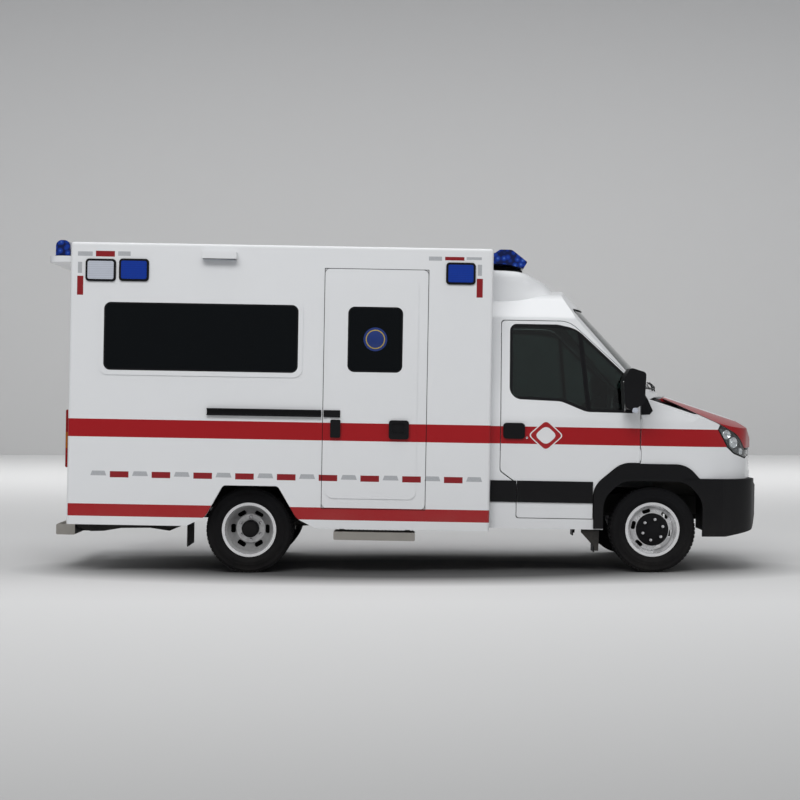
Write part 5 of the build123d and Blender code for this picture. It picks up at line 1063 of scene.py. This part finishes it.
def seal_windows():
    """Rubber seals and black borders round the panes."""
    seal, border = FINISHES["rubber_seal"], FINISHES["satin_black"]
    fixed = Bench()
    for side, _ in SIDES:
        trim_ring(fixed, "box_windows", outer_side(side), 13, -0.6, 2.2, seal)
    fixed.done("box_window_seals", "vehicle", "black_plastic")
    screen = Bench()
    trim_ring(screen, "windscreen", lambda face: face.normal.x + face.normal.z > 0.5, 22, 0.2, 1.2, border)
    screen.done("windscreen_border", "vehicle", "black_plastic")
    for side, label in SIDES:
        pane = Bench()
        border_door_window(pane, side, label, border)
        pane.done("door_window_border_" + label, "cab_door_" + label, "black_plastic")
        rear = Bench()
        trim_ring(rear, "rear_door_glass_" + label, lambda face: face.normal.x < -0.6, 13, 0.2, 5.0, seal)
        rear.done("rear_window_seal_" + label, "rear_door_" + label, "black_plastic")


def corner_trims():
    """The black corner piece between the door window and the fender."""
    bench = Bench()
    for side, _ in SIDES:
        skin = copied_skin(["front_fenders", "cab_frame"],
                           lambda face: face.normal.y * side > 0.2 and face.calc_center_median().y * side > 800
                           and -400 < face.calc_center_median().x < 400)
        for number, (x, z) in enumerate(CORNER_TRIM):
            next_x, next_z = CORNER_TRIM[(number + 1) % len(CORNER_TRIM)]
            cut_skin(skin, (x, z), (next_z - z, x - next_x))
        if not skin.faces:
            raise RuntimeError("the corner trim has no faces")
        thickened(bench, skin, 0.3, 3.0, FINISHES["moulded_black"])
    bench.done("corner_trims", "vehicle", "black_plastic")


def emblem_plates():
    """A plain two-tone lozenge on each cab door."""
    x, z = LOZENGE_MIDDLE
    for side, label in SIDES:
        bench = Bench()
        for half_length, half_height, radius, inner, outer, tone in LOZENGE_LAYERS:
            corners = [(x - half_length, z, radius), (x, z - half_height, radius * 1.4),
                       (x + half_length, z, radius), (x, z + half_height, radius * 1.4)]
            slab(bench, corners, (inner * side, outer * side), FINISHES[tone], "xz", 0.3, 8)
        bench.done("door_lozenge_" + label, "cab_door_" + label, "white_paint")


def fit_mirrors():
    """Mirror glass, the side lamp in the mirror's foot and the door lock."""
    run = Vector(MIRROR_RUN).normalized()
    back = Vector((run.z, 0, -run.x))
    points = rounded_outline(box_outline(*MIRROR_GLASS))
    count = len(points)
    faces = [tuple(range(count)), tuple(reversed(range(count, 2 * count)))]
    faces += [(n, (n + 1) % count, count + (n + 1) % count, count + n) for n in range(count)]
    for side, label in SIDES:
        bench = Bench()
        glass = [Vector(MIRROR_FOOT) + run * point.x + back * lift + Vector((0, point.y * side, 0))
                 for lift in (-1.0, 2.4) for point in points]
        bench.add(glass, faces, FINISHES["mirror_glass"])
        slab(bench, FOOT_LAMP, (1252 * side, 1264 * side), FINISHES["clear_lens"], "xz", 3)
        turned(bench, [(1014 * side, 9), (1018.5 * side, 9), (1019.5 * side, 7)], DOOR_LOCK,
               FINISHES["bright_steel"], 20)
        bench.done("mirror_fittings_" + label, "cab_door_" + label, "clear_lens")


def screen_point(y, up, lift):
    """A point over the windscreen: across, up along the glass from its foot, and off it."""
    drop = SCREEN_CROWN - math.sqrt(SCREEN_CROWN ** 2 - y ** 2)
    foot = Vector((SCREEN_FOOT[0], y, SCREEN_FOOT[1]))
    return foot + Vector(SCREEN_RUN) * up + Vector(SCREEN_OUT) * (lift - drop)


def fit_wipers():
    """Two wipers at rest along the foot of the windscreen."""
    bench = Bench()
    black, rubber = FINISHES["satin_black"], FINISHES["rubber_seal"]
    parts = 12
    for pivot, tip in WIPERS:
        foot = screen_point(pivot, 16, 5)
        middle = screen_point((pivot + tip) / 2 - 60, 100, 24)
        bar(bench, [foot, screen_point(pivot - 60, 42, 30), middle], 7, black)
        turned(bench, [(-6, 14), (12, 14), (16, 10)], foot, black, 20, "z")
        blade = [screen_point(tip + (pivot - tip - 40) * step / parts, 84 + 26 * step / parts, 14)
                 for step in range(parts + 1)]
        bar(bench, blade, 6, rubber)
        bar(bench, [point + Vector((6, 0, 6)) for point in blade[2:-2]], 5, black)
    bench.done("wipers", "vehicle", "black_plastic")


# Lamps and fittings, in millimetres of the level body

HEADLAMP_INSIDE, FAR_OUT = (300, 430, 1040), 2000
HEADLAMP_BOWLS = ((604, 1136, 40), (668, 1072, 46), (742, 1000, 30))  # along, up, radius
BOX_WALL = 1100
HOOD = (-3700, -3420)
BEZELS = (((-4645, -4399), (2293, 2475)), ((-4374, -4132), (2298, 2480)), ((-1729, -1490), (2316, 2494)))
TREADS = (  # middle of the grid, its length and width, bars along and across
    ((-4851, 0, 294.5), 128, 1340, 9, 45), ((-2274, -967, 300.5), 620, 200, 21, 9),
)
REAR_FACE = -4770
RAIL_END = [(-4764, 336, 4), (-4764, 268, 14), (-4650, 234, 20), (-4540, 238, 20), (-4400, 264, 30),
            (-4150, 270, 30), (-3990, 248, 12), (-3950, 266, 12), (-3864, 302, 8), (-3864, 336, 4)]
FLAP_BRACKET = [(-585, 346, 6), (-585, 318, 6), (-480, 206, 8), (-476, 172, 6), (-444, 172, 6), (-440, 346, 6)]
BAR_FOOT = [(-1336, 2452, 4), (-1336, 2472, 4), (-1086, 2472, 6), (-1082, 2456, 4)]
BAR_RIB = [(-1330, 2470, 3), (-1330, 2640, 3), (-1266, 2649.5, 8), (-1168, 2649.5, 16), (-1037, 2548, 6),
           (-1084, 2470, 3)]
SIDE_DOOR = (-2705, -1870, 490, 2427)  # rear, front, foot, top
RING_MIDDLE = (-2292, 0, 1862)
RING_LAYERS = ((96, 1.4, "disc_blue"), (78, 2.2, "disc_yellow"), (70, 3.0, "disc_blue"))  # radius, depth, finish


def headlamp_faces(side, outer):
    """A test for the outer faces of one headlamp, or for the rest of its faces."""
    inside = Vector((HEADLAMP_INSIDE[0], HEADLAMP_INSIDE[1] * side, HEADLAMP_INSIDE[2]))

    def keep(face):
        middle = face.calc_center_median()
        looks_out = face.normal.dot((middle - inside).normalized()) > 0.45
        return middle.y * side > 0 and looks_out == outer

    return keep


def glaze_headlamps():
    """Clear covers over bright bowls in a black housing."""
    bench = Bench()
    chrome, cover, black = FINISHES["chrome"], FINISHES["lamp_cover"], FINISHES["satin_black"]
    for side, _ in SIDES:
        lens = copied_skin(["headlamps"], headlamp_faces(side, True))
        surface = BVHTree.FromBMesh(lens)
        for x, z, radius in HEADLAMP_BOWLS:
            hit, normal, _, _ = surface.ray_cast(Vector((x, FAR_OUT * side, z)), Vector((0, -side, 0)))
            if hit is None:
                raise RuntimeError("a headlamp bowl has no lens over it")
            lamp = Bench()
            rows = [(-30, radius * 0.9), (-12, radius), (-9, radius - 3), (-13, radius - 6), (-26, radius * 0.35),
                    (-18, radius * 0.2)]
            turned(lamp, rows, (0, 0, 0), None, 32)
            turn = Vector((0, 1, 0)).rotation_difference(normal if normal.y * side > 0 else -normal).to_matrix()
            bench.join(lamp.plain_mesh("bowl"), chrome, Matrix.Translation(hit) @ turn.to_4x4())
        thickened(bench, lens, -3.0, 3.0, cover)
        rim = copied_skin(["headlamps"], headlamp_faces(side, True))
        keep_border(rim, 12)
        thickened(bench, rim, -4.0, 4.4, black)
        reflector = copied_skin(["headlamps"], headlamp_faces(side, True))
        thickened(bench, reflector, -34.0, 2.0, FINISHES["lamp_bucket"])
        housing = copied_skin(["headlamps"], headlamp_faces(side, False))
        thickened(bench, housing, -2.0, 1.5, black)
    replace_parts(bench.done("headlamp_units", "vehicle", "clear_lens"), "headlamps")


def hood_scene_lamps():
    """A white hood over each work lamp on the box side, with a black plate under it as painted shade."""
    bench = Bench()
    white, black = FINISHES["plain_white_paint"], FINISHES["satin_black"]
    rear, front = HOOD
    plates = (  # outline, inner and outer end, finish, eased edge
        ([(rear, 2530, 3), (front, 2530, 3), (front - 8, 2546, 8), (rear + 8, 2546, 8)], BOX_WALL, 1176, white, 2),
        (box_outline((rear + 2, 2488), (front - 2, 2545), 7), 1169, 1177, white, 2),
        # Painted shade: a black plate under the hood
        (box_outline((rear + 10, 2482), (front - 10, 2487), 1), 1102, 1172, black, 1),
        (box_outline((rear, 2488), (rear + 8, 2544), 2), BOX_WALL, 1172, white, 1),
        (box_outline((front - 8, 2488), (front, 2544), 2), BOX_WALL, 1172, white, 1),
    )
    for side, _ in SIDES:
        for corners, inner, outer, tone, edge in plates:
            slab(bench, corners, (inner * side, outer * side), tone, "xz", edge)
    bench.done("work_lamp_hoods", "vehicle", "white_paint")


def fit_screws():
    """Screws on the lamp bezels, in rows of three."""
    bench = Bench()
    face, radius, height, count, from_end, from_edge = BOX_WALL + 12, 4, 2.0, 3, 40, 9
    for side, _ in SIDES:
        for (rear, front), (low, high) in BEZELS:
            for z in (low + from_edge, high - from_edge):
                head = Bench()
                rows = [(0, radius), (height * 0.6 * side, radius), (height * side, radius * 0.6)]
                turned(head, rows, (0, 0, 0), None, 10)
                step = (front - rear - 2 * from_end) / (count - 1)
                repeated(bench, "row", head, FINISHES["satin_black"], None, Count=count,
                         Start=(rear + from_end, face * side, z), Step=(step, 0, 0))
    bench.done("bezel_screws", "vehicle", "black_plastic")


def tread_steps():
    """Raised grip bars on the steps, in grids."""
    bench = Bench()
    for middle, length, width, along, across in TREADS:
        stud = Bench()
        slab(stud, box_outline((-5, -9), (5, 9), 4), (-1.0, 2.5), None, "xy", 1, 2)
        repeated(bench, "grid", stud, FINISHES["step_metal"], None, Count_along=along, Count_across=across,
                 Length=float(length), Width=float(width), Middle=middle)
    bench.done("step_grip_studs", "vehicle", "step_metal")


def fit_rear_doors():
    """A handle in its dish on each rear door, and a seal along the middle."""
    for side, label in SIDES:
        bench = Bench()
        near, far = mirrored(side, 60, 200)
        slab(bench, box_outline((near, 1180), (far, 1330), 18), (REAR_FACE, REAR_FACE - 8),
             FINISHES["satin_black"], "yz", 2)
        foot, grip, y = REAR_FACE - 6, REAR_FACE - 26, 130 * side
        bar(bench, [(foot, y, 1205), (grip, y, 1215), (grip, y, 1295), (foot, y, 1305)], 8, FINISHES["bright_steel"])
        near, far = mirrored(side, 5.4, 11)
        slab(bench, box_outline((near, 740), (far, 2336), 2), (REAR_FACE, REAR_FACE - 4),
             FINISHES["rubber_seal"], "yz", 1)
        bench.done("rear_door_furniture_" + label, "rear_door_" + label, "black_plastic")


FAIRING = [  # along, top, shoulder half width, shoulder height, base half width, base height
    (-1344, 2494, 700, 2464, 744, 2210), (-1283, 2492, 700, 2463, 744, 2210), (-1200, 2487, 698, 2461, 742, 2212),
    (-1109, 2476, 690, 2455, 734, 2218), (-1035, 2459, 655, 2436, 720, 2232), (-968, 2438, 600, 2405, 698, 2247),
    (-915, 2416, 545, 2384, 668, 2262), (-870, 2390, 490, 2364, 630, 2274), (-832, 2360, 420, 2342, 580, 2281),
    (-806, 2334, 330, 2326, 500, 2293),
]


def eased(rows, share):
    """A place on a smooth curve through rows of numbers."""
    run = share * (len(rows) - 1)
    number = min(int(run), len(rows) - 2)
    t = run - number
    a, b = rows[max(number - 1, 0)], rows[number]
    c, d = rows[number + 1], rows[min(number + 2, len(rows) - 1)]
    return [0.5 * (2 * q + (r - p) * t + (2 * p - 5 * q + 4 * r - v) * t ** 2 + (3 * q - p - 3 * r + v) * t ** 3)
            for p, q, r, v in zip(a, b, c, d)]


def raise_fairing():
    """A crowned wind deflector on the cab roof, from under the light bar to the roof's front."""
    bench = Bench()
    along, around = 40, 16
    points = []
    for step in range(along + 1):
        x, top, shoulder_y, shoulder_z, base_y, base_z = eased(FAIRING, step / along)
        fall = top - shoulder_z
        half = [(0, top), (shoulder_y * 0.5, top - fall * 0.12), (shoulder_y * 0.85, top - fall * 0.55),
                (shoulder_y, shoulder_z - 8), (shoulder_y + (base_y - shoulder_y) * 0.45, (shoulder_z + base_z) / 2),
                (base_y, base_z)]
        ring = [eased(half, number / around) for number in range(around, 0, -1)]
        ring = [(-y, z) for y, z in ring] + [(0, top)] + [(y, z) for y, z in reversed(ring)]
        points += [(x, y, z) for y, z in ring]
    count = 2 * around + 1
    faces = [tuple(range(count)), tuple(range(along * count, (along + 1) * count))]
    for step in range(along):
        for number in range(count):
            after = (number + 1) % count
            faces.append((step * count + number, step * count + after,
                          (step + 1) * count + after, (step + 1) * count + number))
    bench.add(points, faces, FINISHES["plain_white_paint"])
    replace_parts(bench.done("wind_deflector", "vehicle", "white_paint", sharp=50), "roof_fairing")


def fit_light_bar():
    """The black feet of the light bars, and the ribs between the domes of the front one."""
    bench = Bench()
    black = FINISHES["satin_black"]
    slab(bench, BAR_FOOT, (-668, 668), black, "xz", 4)
    slab(bench, box_outline((-4938, 2499), (-4804, 2512), 4), (-906, 906), black, "xz", 3)
    for place in (-330, 0, 330):
        slab(bench, BAR_RIB, (place - 9, place + 9), black, "xz", 3)
    bench.done("light_bar_frames", "vehicle", "black_plastic")


def hang_underparts():
    """The dark rail ends under the box's tail, and the brackets of the front mud flaps."""
    bench = Bench()
    for side, _ in SIDES:
        slab(bench, RAIL_END, (586 * side, 640 * side), FINISHES["chassis_paint"], "xz", 3)
        slab(bench, FLAP_BRACKET, (930 * side, 976 * side), FINISHES["chassis_paint"], "xz", 2)
    bench.done("underbody_ends", "vehicle", "chassis_black")


def door_seal():
    """The rubber line round the side door."""
    bench = Bench()
    wide, depth = 5, (1 - BOX_WALL, -1.5 - BOX_WALL)
    rear, front, foot, top = SIDE_DOOR
    for start, end in (((rear - wide, foot - wide), (rear, top + wide)),
                       ((front, foot - wide), (front + wide, top + wide)),
                       ((rear, top), (front, top + wide)), ((rear, foot - wide), (front, foot))):
        slab(bench, box_outline(start, end, 1), depth, FINISHES["rubber_seal"], "xz", 0.5, 2)
    bench.done("side_door_seal", "vehicle", "black_plastic")


def window_disc():
    """A plain ring on the side door's window."""
    bench = Bench()
    for radius, depth, tone in RING_LAYERS:
        rows = [(0.5 - BOX_WALL, radius), (-BOX_WALL - depth * 0.6, radius), (-BOX_WALL - depth * 0.7, radius - 0.6)]
        turned(bench, rows, RING_MIDDLE, FINISHES[tone], 64)
    bench.done("door_window_ring", "vehicle", "dark_glass")


# Stage, in metres of the frame

REACH, WALL, WALL_TOP = 70.0, 29.0, 40
# The painted shadow on the floor under the vehicle: its middle, its reach along and across, and how dark it gets
SHADE_MIDDLE, SHADE_REACH, SHADE_DEPTH = (0.05, -0.6), (3.1, 1.3), 0.84
CAMERA_PLACE = (-0.0736, -15.0, 1.411)
LIGHTS = (  # name, place, target, size, power, whether it shows in reflections
    ("overhead", (0, -0.5, 8.0), (0, 0, 0), (7, 3), 130, True),
    ("front_fill", (-2.0, -10.0, 9.0), (0, 0, 1.0), (9, 4), 700, False),
    ("nose_fill", (9.0, -5.0, 4.0), (1.5, 0, 1.2), (4, 4), 60, True),
    ("backdrop_wash", (0, 16.0, 11.0), (0, 19.0, 0), (40, 8), 2200, False),
)


def lit_plane(name, corners, colour, painted_light_fall, painted_shadow=False):
    """A flat piece of the stage, with painted light that changes along an axis, and a painted shadow under the
    vehicle if asked.
    """
    data = bpy.data.meshes.new(name)
    data.from_pydata(corners, [], [tuple(range(len(corners)))])
    material = bpy.data.materials.new(name)
    material.use_nodes = True
    tree = material.node_tree
    shader = tree.nodes["Principled BSDF"]
    shader.inputs["Roughness"].default_value = 0.9
    shader.inputs["Specular IOR Level"].default_value = 0.05
    place = parts_of(tree, object_place(tree))
    # Painted light: the tone changes along an axis, from the near colour to the far one
    axis, low, high, far = painted_light_fall
    shown = blended(tree, ranged(tree, place[axis], low, high), (*colour, 1), (*far, 1))
    # Painted shadow: the floor's colour is darkened in a soft oval under the vehicle
    if painted_shadow:
        squares = []
        for number, (middle, span) in enumerate(zip(SHADE_MIDDLE, SHADE_REACH)):
            away = calc(tree, "DIVIDE", calc(tree, "SUBTRACT", place[number], middle), span)
            squares.append(calc(tree, "MULTIPLY", away, away))
        reach = calc(tree, "SQRT", calc(tree, "ADD", *squares))
        painted_shade = calc(tree, "SUBTRACT", 1.0, ranged(tree, reach, 0.55, 1.10))
        shown = blended(tree, calc(tree, "MULTIPLY", painted_shade, SHADE_DEPTH), shown, (0.02, 0.02, 0.021, 1))
    tree.links.new(shown, shader.inputs["Base Color"])
    data.materials.append(material)
    piece = bpy.data.objects.new(name, data)
    bpy.context.scene.collection.objects.link(piece)


def area_light(name, place, target, size, power, glossy):
    """A soft rectangular light, aimed at a point."""
    data = bpy.data.lights.new(name, "AREA")
    data.shape = "RECTANGLE"
    data.size, data.size_y = size
    data.energy = power
    lamp = bpy.data.objects.new(name, data)
    lamp.location = place
    lamp.rotation_euler = (Vector(target) - Vector(place)).to_track_quat("-Z", "Y").to_euler()
    lamp.visible_glossy = glossy
    bpy.context.scene.collection.objects.link(lamp)


def set_stage():
    """Pale floor, grey backdrop, soft light and the camera at the photograph's angle."""
    scene = bpy.context.scene
    scene.view_settings.view_transform = "Standard"
    # Painted light: the floor is darker near the camera and the backdrop lighter upward, standing in for how the
    # light falls
    lit_plane("stage_floor", [(-REACH, -REACH, 0), (REACH, -REACH, 0), (REACH, WALL, 0), (-REACH, WALL, 0)],
              (0.40, 0.40, 0.40), (1, -10.0, -3.0, (0.70, 0.70, 0.70)), True)
    lit_plane("stage_wall", [(-REACH, WALL, 0), (REACH, WALL, 0), (REACH, WALL, WALL_TOP), (-REACH, WALL, WALL_TOP)],
              (0.57, 0.57, 0.57), (2, 0.0, 14.0, (0.61, 0.61, 0.615)))
    world = bpy.data.worlds.new("studio")
    scene.world = world
    world.use_nodes = True
    tree = world.node_tree
    up = parts_of(tree, node(tree, "ShaderNodeTexCoord").outputs["Generated"])["Z"]
    sky = blended(tree, ranged(tree, up, 0.02, 0.5), (0.22, 0.225, 0.23, 1), (0.62, 0.63, 0.64, 1))
    glow = tree.nodes["Background"]
    tree.links.new(sky, glow.inputs["Color"])
    glow.inputs["Strength"].default_value = 0.8
    for light in LIGHTS:
        area_light(*light)
    camera = bpy.data.cameras.new("camera")
    camera.lens = scene.ambulance_sizes.camera_lens
    camera.sensor_width = 36
    camera.clip_end = 200
    view = bpy.data.objects.new("camera", camera)
    view.location = CAMERA_PLACE
    view.rotation_euler = (math.pi / 2, 0, 0)
    scene.collection.objects.link(view)
    scene.camera = view


# The add-on's own classes


class AmbulanceSizes(PropertyGroup):
    """Sizes that a user may change before the pieces are made."""

    tyre_radius: FloatProperty(
        name="Tyre radius", description="Outer radius of every tyre, over its tread", default=0.35, unit="LENGTH")
    tread_depth: FloatProperty(
        name="Tread depth", description="Depth of the grooves between tread blocks", default=0.007, unit="LENGTH")
    tread_count: IntProperty(
        name="Tread blocks", description="Tread blocks round a tyre, in each of its five rows", default=64, min=24)
    nut_size: FloatProperty(
        name="Wheel nut size", description="Width of a wheel nut across its corners", default=0.026, unit="LENGTH")
    tape_pitch: FloatProperty(
        name="Tape pitch", description="Distance between reflective dashes of one colour", default=0.338,
        unit="LENGTH")
    tape_width: FloatProperty(
        name="Tape width", description="Height of the red reflective dashes", default=0.05, unit="LENGTH")
    camera_lens: FloatProperty(
        name="Lens", description="Focal length that gives the photograph's view", default=77.3,
        subtype="DISTANCE_CAMERA")


class AmbulanceColours(PropertyGroup):
    """Colours of the paint, films and tapes."""

    white: FloatVectorProperty(
        name="White", description="Coachwork paint", default=(0.74, 0.75, 0.765, 1), size=4, subtype="COLOR",
        min=0, max=1)
    red: FloatVectorProperty(
        name="Red", description="Stripe film", default=(0.34, 0.006, 0.010, 1), size=4, subtype="COLOR",
        min=0, max=1)
    tape_red: FloatVectorProperty(
        name="Tape red", description="Red reflective tape", default=(0.24, 0.012, 0.016, 1), size=4,
        subtype="COLOR", min=0, max=1)
    tape_silver: FloatVectorProperty(
        name="Tape silver", description="Silver reflective tape", default=(0.40, 0.41, 0.43, 1), size=4,
        subtype="COLOR", min=0, max=1)


class PieceOperator:
    """Runs the functions that make one group of pieces."""

    steps = ()

    def execute(self, context):
        for step in self.steps:
            step()
        return {"FINISHED"}


class AMBULANCE_OT_finishes(PieceOperator, Operator):
    """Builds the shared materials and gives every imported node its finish"""

    bl_idname = "ambulance.finishes"
    bl_label = "Finishes"
    steps = (make_finishes, dress_nodes)


class AMBULANCE_OT_tyres(PieceOperator, Operator):
    """Makes the tyres with their tread, and the wheel nuts"""

    bl_idname = "ambulance.tyres"
    bl_label = "Tyres and wheel nuts"
    steps = (fit_tyres,)


class AMBULANCE_OT_seats(PieceOperator, Operator):
    """Makes the two padded seats"""

    bl_idname = "ambulance.seats"
    bl_label = "Seats"
    steps = (upholster,)


class AMBULANCE_OT_seals(PieceOperator, Operator):
    """Fits seals and borders to the panes, and the black corner trims"""

    bl_idname = "ambulance.seals"
    bl_label = "Seals and trims"
    steps = (seal_windows, corner_trims)


class AMBULANCE_OT_lamps(PieceOperator, Operator):
    """Fits the headlamps, the lamp hoods, the frames of the light bars and the wind deflector under them"""

    bl_idname = "ambulance.lamps"
    bl_label = "Lamps"
    steps = (glaze_headlamps, hood_scene_lamps, fit_light_bar, raise_fairing)


class AMBULANCE_OT_fittings(PieceOperator, Operator):
    """Fits mirrors, wipers, screws, step grips, rear door furniture, seals and the plain plates"""

    bl_idname = "ambulance.fittings"
    bl_label = "Fittings"
    steps = (fit_mirrors, fit_wipers, fit_screws, tread_steps, fit_rear_doors, emblem_plates, window_disc,
             door_seal, hang_underparts)


class AMBULANCE_OT_stage(PieceOperator, Operator):
    """Sets the floor, the backdrop, the lights and the camera"""

    bl_idname = "ambulance.stage"
    bl_label = "Stage"
    steps = (set_stage,)


OPERATORS = (
    AMBULANCE_OT_finishes, AMBULANCE_OT_tyres, AMBULANCE_OT_seats, AMBULANCE_OT_seals, AMBULANCE_OT_lamps,
    AMBULANCE_OT_fittings, AMBULANCE_OT_stage,
)


class AMBULANCE_PT_panel(Panel):
    """Lists the sizes, the colours and the pieces"""

    bl_idname = "AMBULANCE_PT_panel"
    bl_label = "Ambulance"
    bl_space_type = "VIEW_3D"
    bl_region_type = "UI"
    bl_category = "Ambulance"

    def draw(self, context):
        for group in (context.scene.ambulance_sizes, context.scene.ambulance_colours):
            for label in group.__annotations__:
                self.layout.prop(group, label)
        for operator in OPERATORS:
            self.layout.operator(operator.bl_idname)


CLASSES = (AmbulanceSizes, AmbulanceColours, *OPERATORS, AMBULANCE_PT_panel)


def register():
    for cls in CLASSES:
        bpy.utils.register_class(cls)
    bpy.types.Scene.ambulance_sizes = PointerProperty(type=AmbulanceSizes)
    bpy.types.Scene.ambulance_colours = PointerProperty(type=AmbulanceColours)


def unregister():
    del bpy.types.Scene.ambulance_colours
    del bpy.types.Scene.ambulance_sizes
    for cls in reversed(CLASSES):
        bpy.utils.unregister_class(cls)


def main():
    register()
    for operator in OPERATORS:
        group, name = operator.bl_idname.split(".")
        getattr(getattr(bpy.ops, group), name)()


if __name__ == "__main__":
    main()
